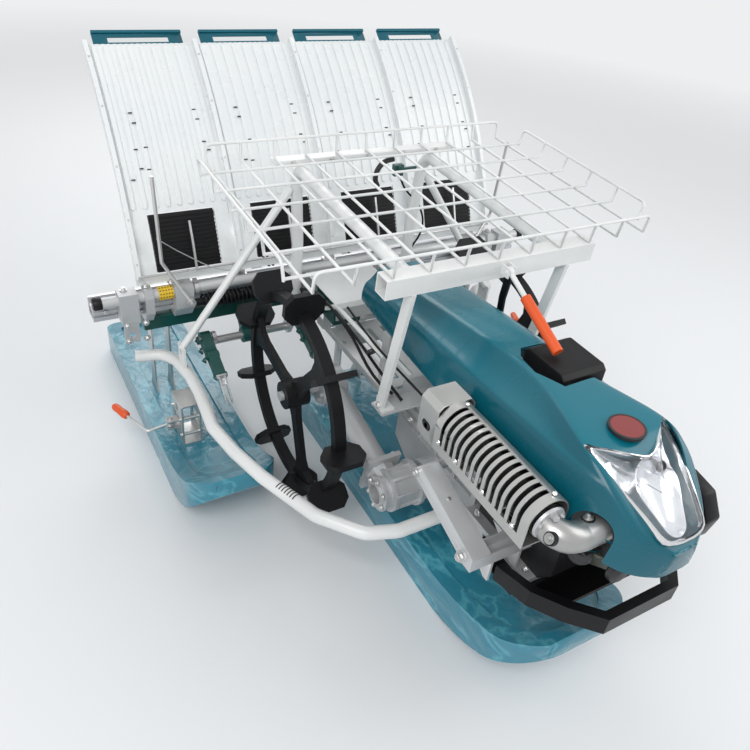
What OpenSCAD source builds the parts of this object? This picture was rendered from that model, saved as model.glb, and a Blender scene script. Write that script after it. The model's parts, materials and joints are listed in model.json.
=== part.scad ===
// Walk-behind rice transplanter, four rows. Front is -Y, the operator walks at +Y.
// The ground and the floats' soles are at z = 0. Lengths are millimetres.

/* [Rows and floats] */
// Distance between neighbouring rows
row_pitch = 300; // [280:2:310]
// Height of a float's deck over the ground
float_deck = 104; // [80:2:130]
// Half the width of the centre float
center_float_half_w = 176; // [150:2:190]
// Front tip of the centre float
center_float_front = -935; // [-980:5:-880]
// Rear end of the centre float
center_float_rear = 250; // [150:5:300]
// Inner side of a side float
side_float_in = 398; // [396:1:420]
// Outer side of a side float
side_float_out = 640; // [600:5:680]
// Front tip of a side float
side_float_front = -205; // [-260:5:-150]
// Rear end of a side float
side_float_rear = 790; // [700:5:850]
// Rise of a float's turned up nose over the ground
nose_rise = 205; // [150:5:225]
// Length of the centre float's rising nose
center_nose = 330; // [280:5:350]
// Length of a side float's rising nose
side_nose = 240; // [180:5:260]
// Width of the raised rim round a float's deck
float_rim = 42; // [30:1:48]
// Depth of the deck inside the rim
float_pocket = 8; // [4:1:14]
// Thickness of the float brackets' plates
bracket_t = 5; // [3:0.5:8]
// Middle of a side float's brackets, from the centre line
side_bracket_x = 555; // [545:1:560]
// Distance between the two plates of a side float's bracket
side_bracket_w = 50; // [40:1:60]

/* [Wheels] */
// Radius over the lugs
wheel_r = 330; // [316:2:334]
// Middle plane of a wheel, from the centre line
wheel_x = 322; // [318:1:326]
// Radius to the middle of the rim
rim_r = 262; // [240:2:275]
// Thickness of the rim across the tread
rim_w = 30; // [20:1:40]
// Thickness of the rim along the radius
rim_t = 22; // [14:1:30]
// Width of a lug along the axle
lug_w = 106; // [80:2:110]
// Thickness of a lug
lug_t = 15; // [10:1:20]
// Number of lugs
lug_count = 9; // [8:1:12]
// Number of spokes
spoke_count = 3; // [3:1:5]
// Width of a spoke
spoke_w = 32; // [20:1:40]
// Thickness of a spoke
spoke_t = 18; // [12:1:24]
// Diameter of the wheel's hub
hub_d = 76; // [60:2:90]
// Length of the wheel's hub
hub_w = 64; // [50:2:80]
// Diameter of the axle in the hub
axle_d = 26; // [20:1:32]
// Axle's place along the machine
axle_y = -80; // [-100:2:-70]

/* [Wheel arms] */
// Pivot of the wheel arm along the machine
arm_y = -430; // [-450:5:-410]
// Pivot of the wheel arm over the ground
arm_z = 254; // [240:2:270]
// Diameter of the wheel arm's tube
arm_tube_d = 66; // [54:2:74]
// Diameter of the pivot housing
arm_house_d = 118; // [110:2:124]
// Length of the pivot housing
arm_house_w = 105; // [96:1:108]
// Middle of the arm's tube, from the centre line
arm_x = 216; // [210:1:220]
// Diameter of the cross shaft that the arms turn on
pivot_d = 50; // [36:1:60]
// Diameter of the gear housing at the axle
final_d = 92; // [80:2:110]

/* [Engine and frame] */
// Half the width of the transmission case
case_half = 95; // [85:1:100]
// Underside of the transmission case
case_low = 190; // [170:2:195]
// Top of the transmission case
case_top = 430; // [424:1:436]
// Front face of the transmission case
case_front = -600; // [-606:1:-592]
// Inner side of a frame rail, from the centre line
rail_x = 104; // [98:1:110]
// Underside of a frame rail
frame_low = 330; // [326:1:334]
// Height of a frame rail
frame_h = 70; // [60:1:74]
// Thickness of the frame's plates
frame_t = 6; // [4:0.5:8]
// Half the width of the frame's deck plate
deck_half = 150; // [144:1:156]
// Radius of the tie-down holes in the deck plate
tie_r = 8; // [5:0.5:9]
// Top of the engine's base plate
base_z = 315; // [310:1:320]
// Thickness of the engine's base plate
base_t = 15; // [10:1:20]
// Right side of the engine block, from the centre line
engine_right = 95; // [90:1:100]
// Left side of the engine block, from the centre line
engine_left = 105; // [95:1:110]
// Height of the engine block
engine_h = 232; // [210:1:234]
// Number of cooling fins on the engine block
fin_count = 9; // [5:1:12]
// Thickness of a cooling fin
fin_t = 4; // [2:0.5:6]
// Diameter of the recoil starter
starter_d = 146; // [120:2:160]

/* [Muffler] */
// Middle of the muffler, from the centre line
muffler_x = 202; // [200:1:206]
// Radius of the guard's rounded top
guard_r = 47; // [44:0.5:48]
// Centre of the rounded top over the ground
muffler_z = 600; // [594:1:606]
// Radius of the muffler
muffler_r = 37; // [32:1:40]
// Rear end of the slotted guard
muffler_rear = -590; // [-596:1:-584]
// Front end of the slotted guard
muffler_front = -884; // [-888:1:-876]
// Number of slots in the guard
slot_count = 14; // [8:1:14]
// Width of a slot
slot_w = 10; // [6:0.5:14]
// Diameter of the exhaust elbow
elbow_d = 58; // [48:1:60]

/* [Seedling stage] */
// Radius of the stage's curve
stage_r = 1137; // [1000:1:1300]
// Lower edge of the stage along the machine
stage_y = 367; // [360:1:380]
// Lower edge of the stage over the ground
stage_z = 466; // [460:1:480]
// Slope of the stage at its lower edge, from level
stage_slope = 72; // [68:1:76]
// Angle that the stage's curve covers
stage_arc = 33.5; // [28:0.5:36]
// Thickness of the stage's sheet
stage_t = 5; // [3:0.5:8]
// Height of the ribs in a lane
rib_h = 5; // [2:0.5:8]
// Number of ribs in a lane
rib_count = 9; // [5:1:11]
// Width of a rib
rib_w = 13; // [8:1:18]
// Height of the walls between the lanes
divider_h = 20; // [10:1:30]
// Width of the walls between the lanes
divider_w = 12; // [6:1:16]
// Number of teeth on a feed belt's face
belt_teeth = 14; // [8:1:20]
// Middle of the upper guide tube, as an angle along the stage
guide_a = 24; // [20:0.5:26]
// Diameter of the upper guide tube
guide_d = 22; // [16:1:26]
// Width of a feed belt's window
belt_w = 190; // [140:5:210]
// Diameter of a press rod
press_d = 6; // [4:0.5:8]

/* [Rail] */
// Length of the guide rail over the ends
rail_len = 1470; // [1400:5:1500]
// Depth of the guide rail
rail_depth = 60; // [50:2:66]
// Height of the guide rail
rail_h = 52; // [44:1:56]
// Front face of the guide rail
rail_y = 344; // [340:1:350]
// Underside of the guide rail
rail_z = 386; // [380:1:390]
// Diameter of the rail tube
tube_d = 30; // [24:1:32]
// Rail tube's centre over the ground
tube_z = 456; // [454:1:458]
// Rail tube's centre along the machine
tube_y = 322; // [316:1:324]

/* [Planting gear] */
// Crank axis along the machine
crank_y = 290; // [288:1:293]
// Crank axis over the ground
crank_z = 285; // [280:1:288]
// Throw of a crank
crank_r = 42; // [36:1:44]
// Diameter of the crank shaft
crank_shaft_d = 24; // [18:1:28]
// Width of a planting arm's body
plant_arm_w = 30; // [22:1:36]
// Side of the square cross beam
beam_s = 44; // [36:2:50]
// Cross beam's centre along the machine
beam_y = 372; // [370:1:376]
// Cross beam's centre over the ground
beam_z = 345; // [343:1:348]

/* [Carrier rack] */
// Number of long wires
rack_long_n = 11; // [7:1:15]
// Distance between long wires
rack_long_pitch = 88.6; // [80:0.2:92]
// Number of cross wires
rack_cross_n = 6; // [4:1:8]
// Distance between cross wires
rack_cross_pitch = 97.4; // [80:0.2:100]
// Rear cross wire along the machine
rack_rear_y = 147; // [130:1:160]
// Height of the wires over the ground at the rear cross wire
rack_z = 857; // [850:1:870]
// Diameter of a wire
wire_d = 7; // [5:0.5:8]
// Height of the rim over the bed
rack_rim_h = 45; // [30:1:60]
// Slope of the rack, falling to the front, in degrees
rack_tilt = 2.2; // [0:0.1:3]
// Diameter of the rack's frame tubes
rack_tube_d = 32; // [25:1:36]
// Distance of a frame tube from the centre line
rack_tube_x = 200; // [190:2:206]
// Height of the front bracket
rack_front_h = 45; // [40:1:60]
// Thickness of the rear bracket
rack_rear_t = 12; // [8:1:16]

/* [Hood] */
// Thickness of the hood's shell
hood_t = 4; // [3:0.5:6]
// Lower edge of the hood along its sides
hood_low = 550; // [546:1:552]
// Top of the hood where the lamp starts
hood_top = 705; // [698:1:712]
// Rear end of the hood
hood_rear = -30; // [-60:1:0]
// Front tip of the hood
hood_front = -1030; // [-1036:1:-1024]
// Slope of the lamp, from level
lamp_slope = 37; // [35:0.5:39]
// Thickness of the lamp
lamp_t = 9; // [6:0.5:12]
// Diameter of the reflector disc
disc_d = 70; // [56:1:72]
// Diameter of the fuel cap
cap_d = 96; // [80:1:104]

/* [Guards] */
// Diameter of a guard tube
guard_d = 34; // [28:1:40]
// Height of the guard tubes' middle over the ground
guard_z = 262; // [258:1:268]
// Front face of the bumper
bumper_front = -1012; // [-1020:1:-1006]
// Middle of the bumper's bar over the ground
bumper_z = 382; // [376:1:390]
// Height of the bumper's bar
bumper_h = 44; // [34:1:50]
// Thickness of the bumper's bar
bumper_t = 20; // [14:1:24]

/* [Handlebars] */
// Rear end of the grips
grip_end = 1345; // [1300:5:1400]
// Height of the grips over the ground
grip_z = 850; // [800:5:900]
// Distance of a grip from the centre line
grip_x = 300; // [260:5:340]
// Diameter of the handlebar tube
handle_d = 30; // [25:1:34]
// Diameter of a grip
grip_d = 36; // [31:1:42]
// Length of a grip
grip_len = 120; // [100:5:150]

/* [Markers] */
// Diameter of the markers' pivot pins
pin_d = 10; // [8:0.5:12]
// Diameter of the line marker's rod
marker_d = 10; // [6:0.5:12]
// Height of the line marker's tip over the ground
marker_top = 810; // [760:5:840]
// Height of the side marker over the ground
aligner_z = 160; // [152:1:180]
// Diameter of the marker grips
marker_grip_d = 24; // [18:1:28]

/* [Hidden] */
$fn = 48;

ALU = [0.78, 0.79, 0.8];
CHROME = [0.85, 0.85, 0.86];
TEAL = [0.05, 0.42, 0.48];
WHITE = [0.93, 0.94, 0.94];
BLACK = [0.07, 0.07, 0.08];
OLIVE = [0.3, 0.32, 0.28];
RED = [0.7, 0.1, 0.08];
ORANGE = [0.95, 0.25, 0.06];
GREEN = [0.0, 0.28, 0.25];
// Radial clearance of a turning fit, and the gap of a sliding one
run_fit = 0.05;
slide_gap = 1;
// Sides of a bent tube, and the height of its flat top over its middle as a share of its radius
sides = 16;
flat_top = cos(180 / sides);

lane_count = 4;
stage_half = lane_count * row_pitch / 2 + divider_w / 2;
function lane(k) = (k - (lane_count - 1) / 2) * row_pitch;
float_floor = float_deck - float_pocket;
frame_top = frame_low + frame_h;
beam_front = beam_y - beam_s / 2;
beam_top = beam_z + beam_s / 2;
rail_top = rail_z + rail_h;
row_x = row_pitch / 2;
case_x = row_pitch;

// Geometry helpers

// A box between two corners
module slab(a, b) {
    translate(a) cube(b - a);
}

module bar(p, q, d) {
    v = q - p;
    translate(p) rotate([0, acos(v.z / norm(v)), atan2(v.y, v.x)])
        cylinder(h = norm(v), d = d);
}

// A round piece along x, from x0 to x1, about the line through (y, z)
module drum(x0, x1, y, z, d) {
    translate([x0, y, z]) rotate([0, 90, 0]) cylinder(h = x1 - x0, d = d);
}

function unit(v) = v / norm(v);
function turned(v, k, a) = v * cos(a) + cross(k, v) * sin(a) + k * (k * v) * (1 - cos(a));

// Stations [place, direction, up] along a path whose corners have the middle radius r
function stations(pts, r, i, up) = let (n = len(pts), a = unit(pts[i] - pts[i - 1]))
    i == n - 1 ? [[pts[i], a, up]]
    : let (b = unit(pts[i + 1] - pts[i]), k = unit(cross(a, b)), t = acos(a * b), out = cross(a, k),
           c = pts[i] - a * r * tan(t / 2) - out * r, steps = max(2, ceil(t / 18)))
        concat([for (j = [0:steps]) let (q = t * j / steps)
                [c + r * (out * cos(q) + a * sin(q)), a * cos(q) - out * sin(q), turned(up, k, q)]],
            stations(pts, r, i + 1, turned(up, k, t)));

// A round tube along points, bent at its corners
module pipe(pts, d, r, n = sides) {
    a = unit(pts[1] - pts[0]);
    up = unit(cross(a, abs(a.z) < 0.7 ? [0, 0, 1] : [0, 1, 0]));
    loft([for (s = concat([[pts[0], a, up]], stations(pts, r, 1, up)))
        [for (i = [0:n - 1]) let (q = 360 * (i + 0.5) / n)
            s[0] + d / 2 * (s[2] * cos(q) + cross(s[1], s[2]) * sin(q))]]);
}

// A bar of w by h along points, upright, mitred at its corners
module strap(pts, w, h) {
    n = len(pts);
    loft([for (i = [0:n - 1]) let (
            a = unit(pts[max(i, 1)] - pts[max(i, 1) - 1]),
            b = unit(pts[min(i + 1, n - 1)] - pts[min(i + 1, n - 1) - 1]),
            m = unit([a.x + b.x, a.y + b.y, 0]),
            s = cross(m, [0, 0, 1]) * w / 2 / sqrt((1 + a * b) / 2))
        [pts[i] + s + [0, 0, h / 2], pts[i] + s - [0, 0, h / 2],
            pts[i] - s - [0, 0, h / 2], pts[i] - s + [0, 0, h / 2]]]);
}

// An outline drawn in (y, z), extruded across x from x0 to x1
module across(x0, x1) {
    translate([x0, 0, 0]) rotate([90, 0, 90]) linear_extrude(x1 - x0) children();
}

// A flat or square bar between two points (y, z) of one x plane
module flat_bar(p, q, x0, x1, h) {
    v = q - p;
    translate([0, p.x, p.y]) rotate([atan2(v.y, v.x), 0, 0])
        translate([x0, 0, -h / 2]) cube([x1 - x0, norm(v), h]);
}

// The right side as drawn, or its mirror on the left
module side(s) {
    if (s < 0) children();
    else mirror([1, 0, 0]) children();
}

// Points of an arc from angle a to angle b
function arc(c, r, a, b, n) = [for (i = [0:n]) c + r * [cos(a + (b - a) * i / n), sin(a + (b - a) * i / n)]];

// Solid between rings that have the same number of points, counter-clockwise as seen from
// ahead. A ring of an open arch lists its outer points and then its inner ones backwards.
module loft(rings, arch = false) {
    m = len(rings[0]);
    n = len(rings);
    cap = arch ? [for (i = [0:m / 2 - 2]) [i, i + 1, m - 2 - i, m - 1 - i]] : [[for (i = [0:m - 1]) i]];
    polyhedron(
        points = [for (r = rings) each r],
        faces = concat(cap,
            [for (j = [0:n - 2], i = [0:m - 1]) [j * m + i, (j + 1) * m + i, (j + 1) * m + (i + 1) % m]],
            [for (j = [0:n - 2], i = [0:m - 1]) [j * m + i, (j + 1) * m + (i + 1) % m, j * m + (i + 1) % m]],
            [for (f = cap) [for (i = [len(f) - 1:-1:0]) (n - 1) * m + f[i]]]));
}

// Floats

module float_outline(x0, x1, y0, y1, r_front, r_rear) {
    translate([x0 + r_front, y0 + r_front]) circle(r_front);
    translate([x1 - r_front, y0 + r_front]) circle(r_front);
    translate([x0 + r_front, y0]) square([x1 - x0 - 2 * r_front, r_front]);
    translate([x0, y0 + r_front]) square([x1 - x0, y1 - y0 - r_front - r_rear]);
    translate([x0 + r_rear, y1 - 2 * r_rear]) square([x1 - x0 - 2 * r_rear, 2 * r_rear]);
    translate([x0 + r_rear, y1 - r_rear]) circle(r_rear);
    translate([x1 - r_rear, y1 - r_rear]) circle(r_rear);
}

// The deck rises to the nose on a parabola; drop lowers it
tip_w = 40;
deck_tail = 110;
function deck_line(y0, y1, nose, drop) = concat(
    [for (t = [1:-0.125:0]) [y0 + tip_w + nose * (1 - t),
        float_deck - drop + (nose_rise - 12 - float_deck) * t * t]],
    [[y1 - deck_tail, float_deck - drop], [y1, float_deck - drop - 18]]);

// Side view of a float: flat sole, turned up nose
function float_profile(y0, y1, nose) = concat(
    [[y1, 14], [y1 - tip_w, 0]],
    [for (t = [0:0.125:1]) [y0 + nose * (1 - t), (nose_rise - 46) * t * t]],
    [[y0 - 1, nose_rise - 20], [y0 + 10, nose_rise]],
    deck_line(y0, y1, nose, 0));

module float_body(x0, x1, y0, y1, nose, r_front) {
    g = float_rim;
    color(TEAL) difference() {
        intersection() {
            linear_extrude(nose_rise + 10) float_outline(x0, x1, y0, y1, r_front, 40);
            across(x0 - 1, x1 + 1) polygon(float_profile(y0, y1, nose));
        }
        intersection() {
            linear_extrude(nose_rise + 20) float_outline(x0 + g, x1 - g, y0 + g, y1 - g, r_front - g / 2, 20);
            across(x0, x1) polygon(concat([[y1 + 1, nose_rise + 30], [y0 - 1, nose_rise + 30],
                [y0 - 1, nose_rise - float_pocket]], deck_line(y0, y1, nose, float_pocket)));
        }
    }
}

module center_float() {
    float_body(-center_float_half_w, center_float_half_w, center_float_front, center_float_rear,
        center_nose, 120);
}

module side_float() {
    float_body(-side_float_out, -side_float_in, side_float_front, side_float_rear, side_nose, 90);
}

module side_float_right() { side_float(); }
module side_float_left() { mirror([1, 0, 0]) side_float(); }

// Brackets that carry the floats: a cage under the guard tube and a link under the beam
cage_y0 = 80;
cage_y1 = 170;
cage_top = 232;
saddle_y = 105;
aligner_x = side_bracket_x + 50;
aligner_y = 116;
link_w = 40;

// Upright plate across the middle of x, from z0 to z1, wider at its foot
module link_plate(x, y, z0, z1) {
    across(x - bracket_t / 2, x + bracket_t / 2) polygon([[y - link_w * 0.9, z0], [y + link_w * 0.9, z0],
        [y + link_w / 2, z0 + 40], [y + link_w / 2, z1], [y - link_w / 2, z1], [y - link_w / 2, z0 + 40]]);
}

module side_float_bracket() {
    x0 = -side_bracket_x - side_bracket_w / 2;
    x1 = -side_bracket_x + side_bracket_w / 2;
    slab([x0 - bracket_t / 2, cage_y0, float_floor], [x1 + bracket_t / 2, cage_y1, float_floor + bracket_t]);
    for (x = [x0, x1]) {
        difference() {
            slab([x - bracket_t / 2, cage_y0, float_floor], [x + bracket_t / 2, cage_y1, cage_top]);
            slab([x - bracket_t, cage_y0 + 16, float_floor + 50], [x + bracket_t, cage_y1 - 16, cage_top - 50]);
            slab([x - bracket_t, cage_y0 + 34, cage_top - 38], [x + bracket_t, cage_y1 - 34, cage_top - 14]);
        }
        link_plate(x, beam_y, float_floor, beam_z - beam_s / 2);
    }
    for (z = [float_floor + 36, cage_top - 44])
        bar([x0 - 8, cage_y0 + 8, z], [x1 + 8, cage_y0 + 8, z], 10);
    bar([x0 - 8, cage_y1 - 8, cage_top - 44], [x1 + 8, cage_y1 - 8, cage_top - 44], 10);
    slab([x0 - bracket_t / 2, cage_y0 + 4, cage_top - bracket_t], [x1 + bracket_t / 2, cage_y1 - 4, cage_top]);
    slab([x1 - 4, saddle_y, cage_top - 1], [x1 + 22, saddle_y + 40, guard_z - guard_d / 2 * flat_top]);
    for (z = [aligner_z - 14, aligner_z + 8])
        slab([-aligner_x - 12, aligner_y - 12, z], [x0, aligner_y + 12, z + 6]);
    bar([-aligner_x, aligner_y, aligner_z - 20], [-aligner_x, aligner_y, aligner_z + 20], pin_d);
}

module float_brackets() {
    front_y = center_float_front + tip_w + center_nose + 50;
    rear_y = center_float_rear - 50;
    foot = frame_low - frame_t;
    color(ALU) {
        for (s = [-1, 1]) side(s) side_float_bracket();
        for (x = [-38, 38]) {
            link_plate(x, front_y, float_floor, case_low);
            link_plate(x, rear_y, float_floor, foot);
        }
        bar([-50, front_y, case_low - 30], [50, front_y, case_low - 30], 14);
        slab([-rail_x - frame_t, rear_y - link_w / 2, foot], [rail_x + frame_t, rear_y + link_w / 2, frame_low]);
    }
}

// Frame

frame_front = -250;
leg_y = -330;
foot_y = 222;
stay_y = -200;
deck_slots = 5;

module main_frame() {
    wide = rack_tube_x + 20;
    color(ALU) difference() {
        union() {
            for (x = [-rail_x - frame_t, rail_x])
                slab([x, frame_front, frame_low], [x + frame_t, beam_front, frame_top]);
            for (y = [frame_front, 60])
                slab([-rail_x - frame_t, y, frame_low], [rail_x + frame_t, y + frame_t, frame_top]);
            slab([-deck_half, frame_front + 10, frame_top], [deck_half, 60 + frame_t, frame_top + frame_t]);
            slab([-wide, foot_y - 26, frame_top], [wide, foot_y + 26, frame_top + frame_t]);
            slab([-wide, leg_y - 26, case_top], [wide, leg_y + 26, case_top + frame_t]);
            for (s = [-1, 1]) side(s)
                slab([-deck_half + 18, stay_y - 14, frame_top], [-deck_half + 42, stay_y + 14, hood_low]);
        }
        slab([-wide, rail_y - 2, rail_z - 2], [wide, beam_front + 1, frame_top + 1]);
        for (i = [0:deck_slots - 1]) let (x = (i - (deck_slots - 1) / 2) * 44)
            slab([x - 8, frame_front + 40, frame_top - 1], [x + 8, 30, frame_top + frame_t + 1]);
        for (s = [-1, 1]) translate([s * (deck_half - 12), -10, frame_top - 1])
            cylinder(h = frame_t + 2, r = tie_r);
        for (x = [-rail_x - frame_t, rail_x], y = [-180:90:220]) slab([x - 1, y, frame_low + 20],
            [x + frame_t + 1, y + 50, frame_top - 20]);
    }
}

// Cast gear case with ribbed sides; the cross shaft carries the wheel arms
module transmission_case() {
    rib_rows = 3;
    z0 = case_low + 130;
    step = (case_top - 20 - z0) / rib_rows;
    shaft_half = arm_x - 11;
    color(ALU) {
        difference() {
            across(-case_half, case_half) polygon([[case_front, case_low + 30], [case_front + 30, case_low],
                [frame_front - 90, case_low], [frame_front, case_low + 60], [frame_front, case_top],
                [case_front, case_top]]);
            for (s = [-1, 1], j = [0:rib_rows - 1], i = [0:3]) side(s)
                slab([-case_half - 1, case_front + 18 + i * 82, z0 + j * step],
                    [-case_half + 10, case_front + 88 + i * 82, z0 + (j + 1) * step - 9]);
        }
        for (s = [-1, 1]) side(s) {
            drum(-case_half - 34, -case_half + 1, arm_y, arm_z, pivot_d + 52);
            for (i = [0:5]) translate([-case_half - 40, arm_y, arm_z]) rotate([i * 60, 0, 0])
                translate([0, 0, pivot_d / 2 + 17]) rotate([0, 90, 0]) cylinder(h = 12, d = 12);
            slab([-deck_half, case_front + 10, case_top - frame_t], [-case_half + 1, case_front + 36, case_top]);
            slab([-deck_half, case_front + 10, case_top - frame_t], [-deck_half + 12, case_front + 36, hood_low]);
        }
        drum(-shaft_half, shaft_half, arm_y, arm_z, pivot_d);
    }
}

// Engine block with fins on its right side, its cylinder head and the recoil starter
block_front = -860;
block_rear = -620;
starter_y = -690;

module engine() {
    top = base_z + engine_h;
    starter_z = base_z + engine_h - starter_d / 2 - 12;
    pitch = (engine_h - 70) / fin_count;
    color(BLACK) {
        difference() {
            across(-engine_right, engine_left) polygon([[block_front, base_z + 40], [block_front + 30, base_z],
                [block_rear, base_z], [block_rear, top - 30], [block_rear - 30, top], [block_front, top]]);
            for (i = [0:fin_count - 1]) slab([-engine_right - 1, block_front + 90, base_z + 60 + i * pitch],
                [-engine_right + 22, block_rear - 20, base_z + 60 + (i + 1) * pitch - fin_t]);
        }
        slab([elbow_in, elbow_y - 30, cowl_top], [60, block_front + 10, elbow_z + elbow_d / 2]);
        drum(engine_left - 1, engine_left + 34, starter_y, starter_z, starter_d);
        difference() {
            drum(engine_left + 33, engine_left + 42, starter_y, starter_z, starter_d - 26);
            for (a = [0:30:330]) translate([0, starter_y, starter_z]) rotate([a, 0, 0])
                slab([engine_left + 36, -4, 22], [engine_left + 43, 4, starter_d / 2 - 20]);
        }
    }
}

module engine_base() {
    w = 120;
    color(ALU) {
        slab([-w, tray_front + 4, base_z - base_t], [w, case_front, base_z]);
        for (x = [-w, w - frame_t])
            slab([x, -672, base_z - 45], [x + frame_t, case_front, base_z - base_t + 1]);
    }
}

// Bowl under the hood's nose
cowl_top = hood_low - 30;
tray_front = -830;
cowl_rows = [
    // z, half width, front, rear
    [440, 62, -944, -876],
    [470, 92, -966, -870],
    [cowl_top, 110, -984, -866]];

module engine_cowl() {
    color(OLIVE) loft([for (c = cowl_rows) let (z = c[0], w = c[1], y0 = c[2], y1 = c[3])
        [[-w, y1, z], [-w, y0 + 40, z], [-w * 0.72, y0 + 8, z], [0, y0, z],
            [w * 0.72, y0 + 8, z], [w, y0 + 40, z], [w, y1, z]]]);
}

// Channel arm from the engine's side back to the case, with its foot on the engine at x = -reach
module side_arm(reach) {
    x0 = -258;
    x1 = -212;
    wall = 3;
    low = [-786, 392];
    high = [-574, 460];
    color(ALU) difference() {
        union() {
            flat_bar(high, low, x0, x1, 40);
            drum(x0 - 4, -deck_half, high.x, high.y, 22);
            drum(x0 - 6, x1 + 4, low.x + 22, low.y + 5, 20);
            slab([x0 + 1, low.x - 4, low.y - 20], [-reach, low.x + 38, low.y + 10]);
            for (x = [-200, -126]) across(x, x + 6)
                polygon([[low.x - 4, low.y - 19], [low.x + 90, low.y - 19], [low.x + 10, base_z],
                    [low.x - 4, base_z]]);
        }
        translate([0, 0, -1]) flat_bar(high + [-20, -4], low + [14, 2], x0 + wall, x1 - wall, 36);
        slab([x0 + 8, low.x, low.y - 17], [-reach - 8, low.x + 34, low.y + 20]);
    }
}
module side_arm_right() { side_arm(engine_right); }
module side_arm_left() { mirror([1, 0, 0]) side_arm(engine_left); }

// Muffler and its guard

module muffler() {
    z = muffler_z - 4;
    color([0.3, 0.3, 0.31]) {
        bar([-muffler_x, muffler_rear - 3, z], [-muffler_x, muffler_front + 4, z], 2 * muffler_r);
        bar([-muffler_x, muffler_front + 5, z], [-muffler_x, muffler_front + 1, z], elbow_d + 12);
    }
}

// The guard's end outline about its middle: round on top, straight below
guard_skirt = 57;
guard_t = 3;

module guard_outline(r) {
    circle(r);
    translate([-r, -guard_skirt]) square([2 * r, guard_skirt]);
}

module guard_part(r, y0, y1) {
    translate([-muffler_x, y1, muffler_z]) rotate([90, 0, 0]) linear_extrude(y1 - y0) guard_outline(r);
}

module muffler_guard() {
    box_l = 62;
    box_r = guard_r - 1;
    pitch = (muffler_rear - muffler_front - 30) / slot_count;
    stay_z = muffler_z - guard_skirt;
    color(ALU) {
        difference() {
            guard_part(guard_r, muffler_front, muffler_rear);
            difference() {
                guard_part(guard_r - guard_t, muffler_front - 1, muffler_rear - guard_t);
                slab([-muffler_x - 60, muffler_front, stay_z - 1], [-muffler_x + 60, muffler_rear, stay_z + guard_t]);
            }
            translate([-muffler_x, 0, muffler_z]) for (i = [0:slot_count - 1])
                slab([-guard_r - 2, muffler_front + 20 + i * pitch, -34],
                    [guard_r * 0.15, muffler_front + 20 + i * pitch + slot_w, guard_r + 2]);
            translate([-muffler_x, 0, muffler_z]) for (i = [0:1]) slab([-30, muffler_front + 60 + i * 105,
                -guard_skirt - 1], [30, muffler_front + 120 + i * 105, -guard_skirt + 4]);
        }
        translate([-muffler_x, muffler_rear + box_l, muffler_z]) difference() {
            rotate([90, 0, 0]) linear_extrude(box_l) polygon([[-box_r, -guard_skirt], [box_r, -guard_skirt],
                [box_r, 32], [34, box_r], [-34, box_r], [-box_r, 32]]);
            translate([0, -guard_t, 0]) rotate([90, 0, 0]) linear_extrude(box_l) polygon([
                [-box_r + guard_t, -guard_skirt + guard_t], [box_r - guard_t, -guard_skirt + guard_t],
                [box_r - guard_t, 30], [33, box_r - guard_t], [-33, box_r - guard_t], [-box_r + guard_t, 30]]);
            for (y = [-26, -34]) translate([-guard_r - 1, y, -24]) rotate([0, 90, 0]) cylinder(h = 20, d = 22);
        }
        for (y = [muffler_front + 94, muffler_rear - 80])
            slab([-muffler_x - 30, y, stay_z - 4], [-engine_right, y + 40, stay_z + 1]);
    }
}

elbow_y = muffler_front - 38;
elbow_z = muffler_z - 26;
elbow_in = -98;
module exhaust_elbow() {
    z = muffler_z - 12;
    color(CHROME) pipe([[-muffler_x, muffler_front + 1, z], [-muffler_x, elbow_y, z],
        [-150, elbow_y, elbow_z], [elbow_in, elbow_y, elbow_z]], elbow_d, 34);
}

// Hood sections: y, half width below and at the crease, height below, at the crease, on top, groove
lamp_y = -866;
function slope_z(y) = hood_top + (y - lamp_y) * tan(lamp_slope);
hood_rows = concat([
    [hood_rear, 112, 100, hood_low, 608, 638, 2],
    [-200, 128, 110, hood_low, 628, 662, 5],
    [-400, 138, 116, hood_low, 640, hood_top - 20, 7],
    [-545, 145, 121, hood_low, 650, hood_top - 6, 8],
    [-690, 150, 126, hood_low, 658, hood_top, 8],
    [-800, 151, 128, hood_low - 2, 668, hood_top, 5],
    [lamp_y, 148, 120, hood_low - 8, hood_top - 6, hood_top, 0]],
    [for (p = [[-905, 140, 110, 14], [-945, 126, 100, 20], [-985, 104, 88, 26], [-1012, 76, 66, 28],
        [hood_front, 44, 36, 28]]) [p[0], p[1], p[2], hood_low - p[3], slope_z(p[0]), slope_z(p[0]), 0]]);

// Points of a hood section, from the lower edge on one side to the other, moved in by g
function hood_ring(r, g) = let (
        y = r[0], b = r[1] - g, c = r[2] - g, z0 = r[3], z1 = r[4] - g, z2 = r[5] - g, d = z2 - z1,
        half = [[b, z0], [(b + c) / 2 + 3, z0 + (z1 - z0) * 0.55], [c, z1], [c * 0.91, z1 + d * 0.6],
            [c * 0.78, z1 + d * 0.82 - r[6]], [c * 0.6, z2 - d * 0.08], [c * 0.3, z2]])
    concat([for (p = half) [-p.x, y, p.y]], [[0, y, z2]], [for (i = [6:-1:0]) [half[i].x, y, half[i].y]]);

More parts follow.
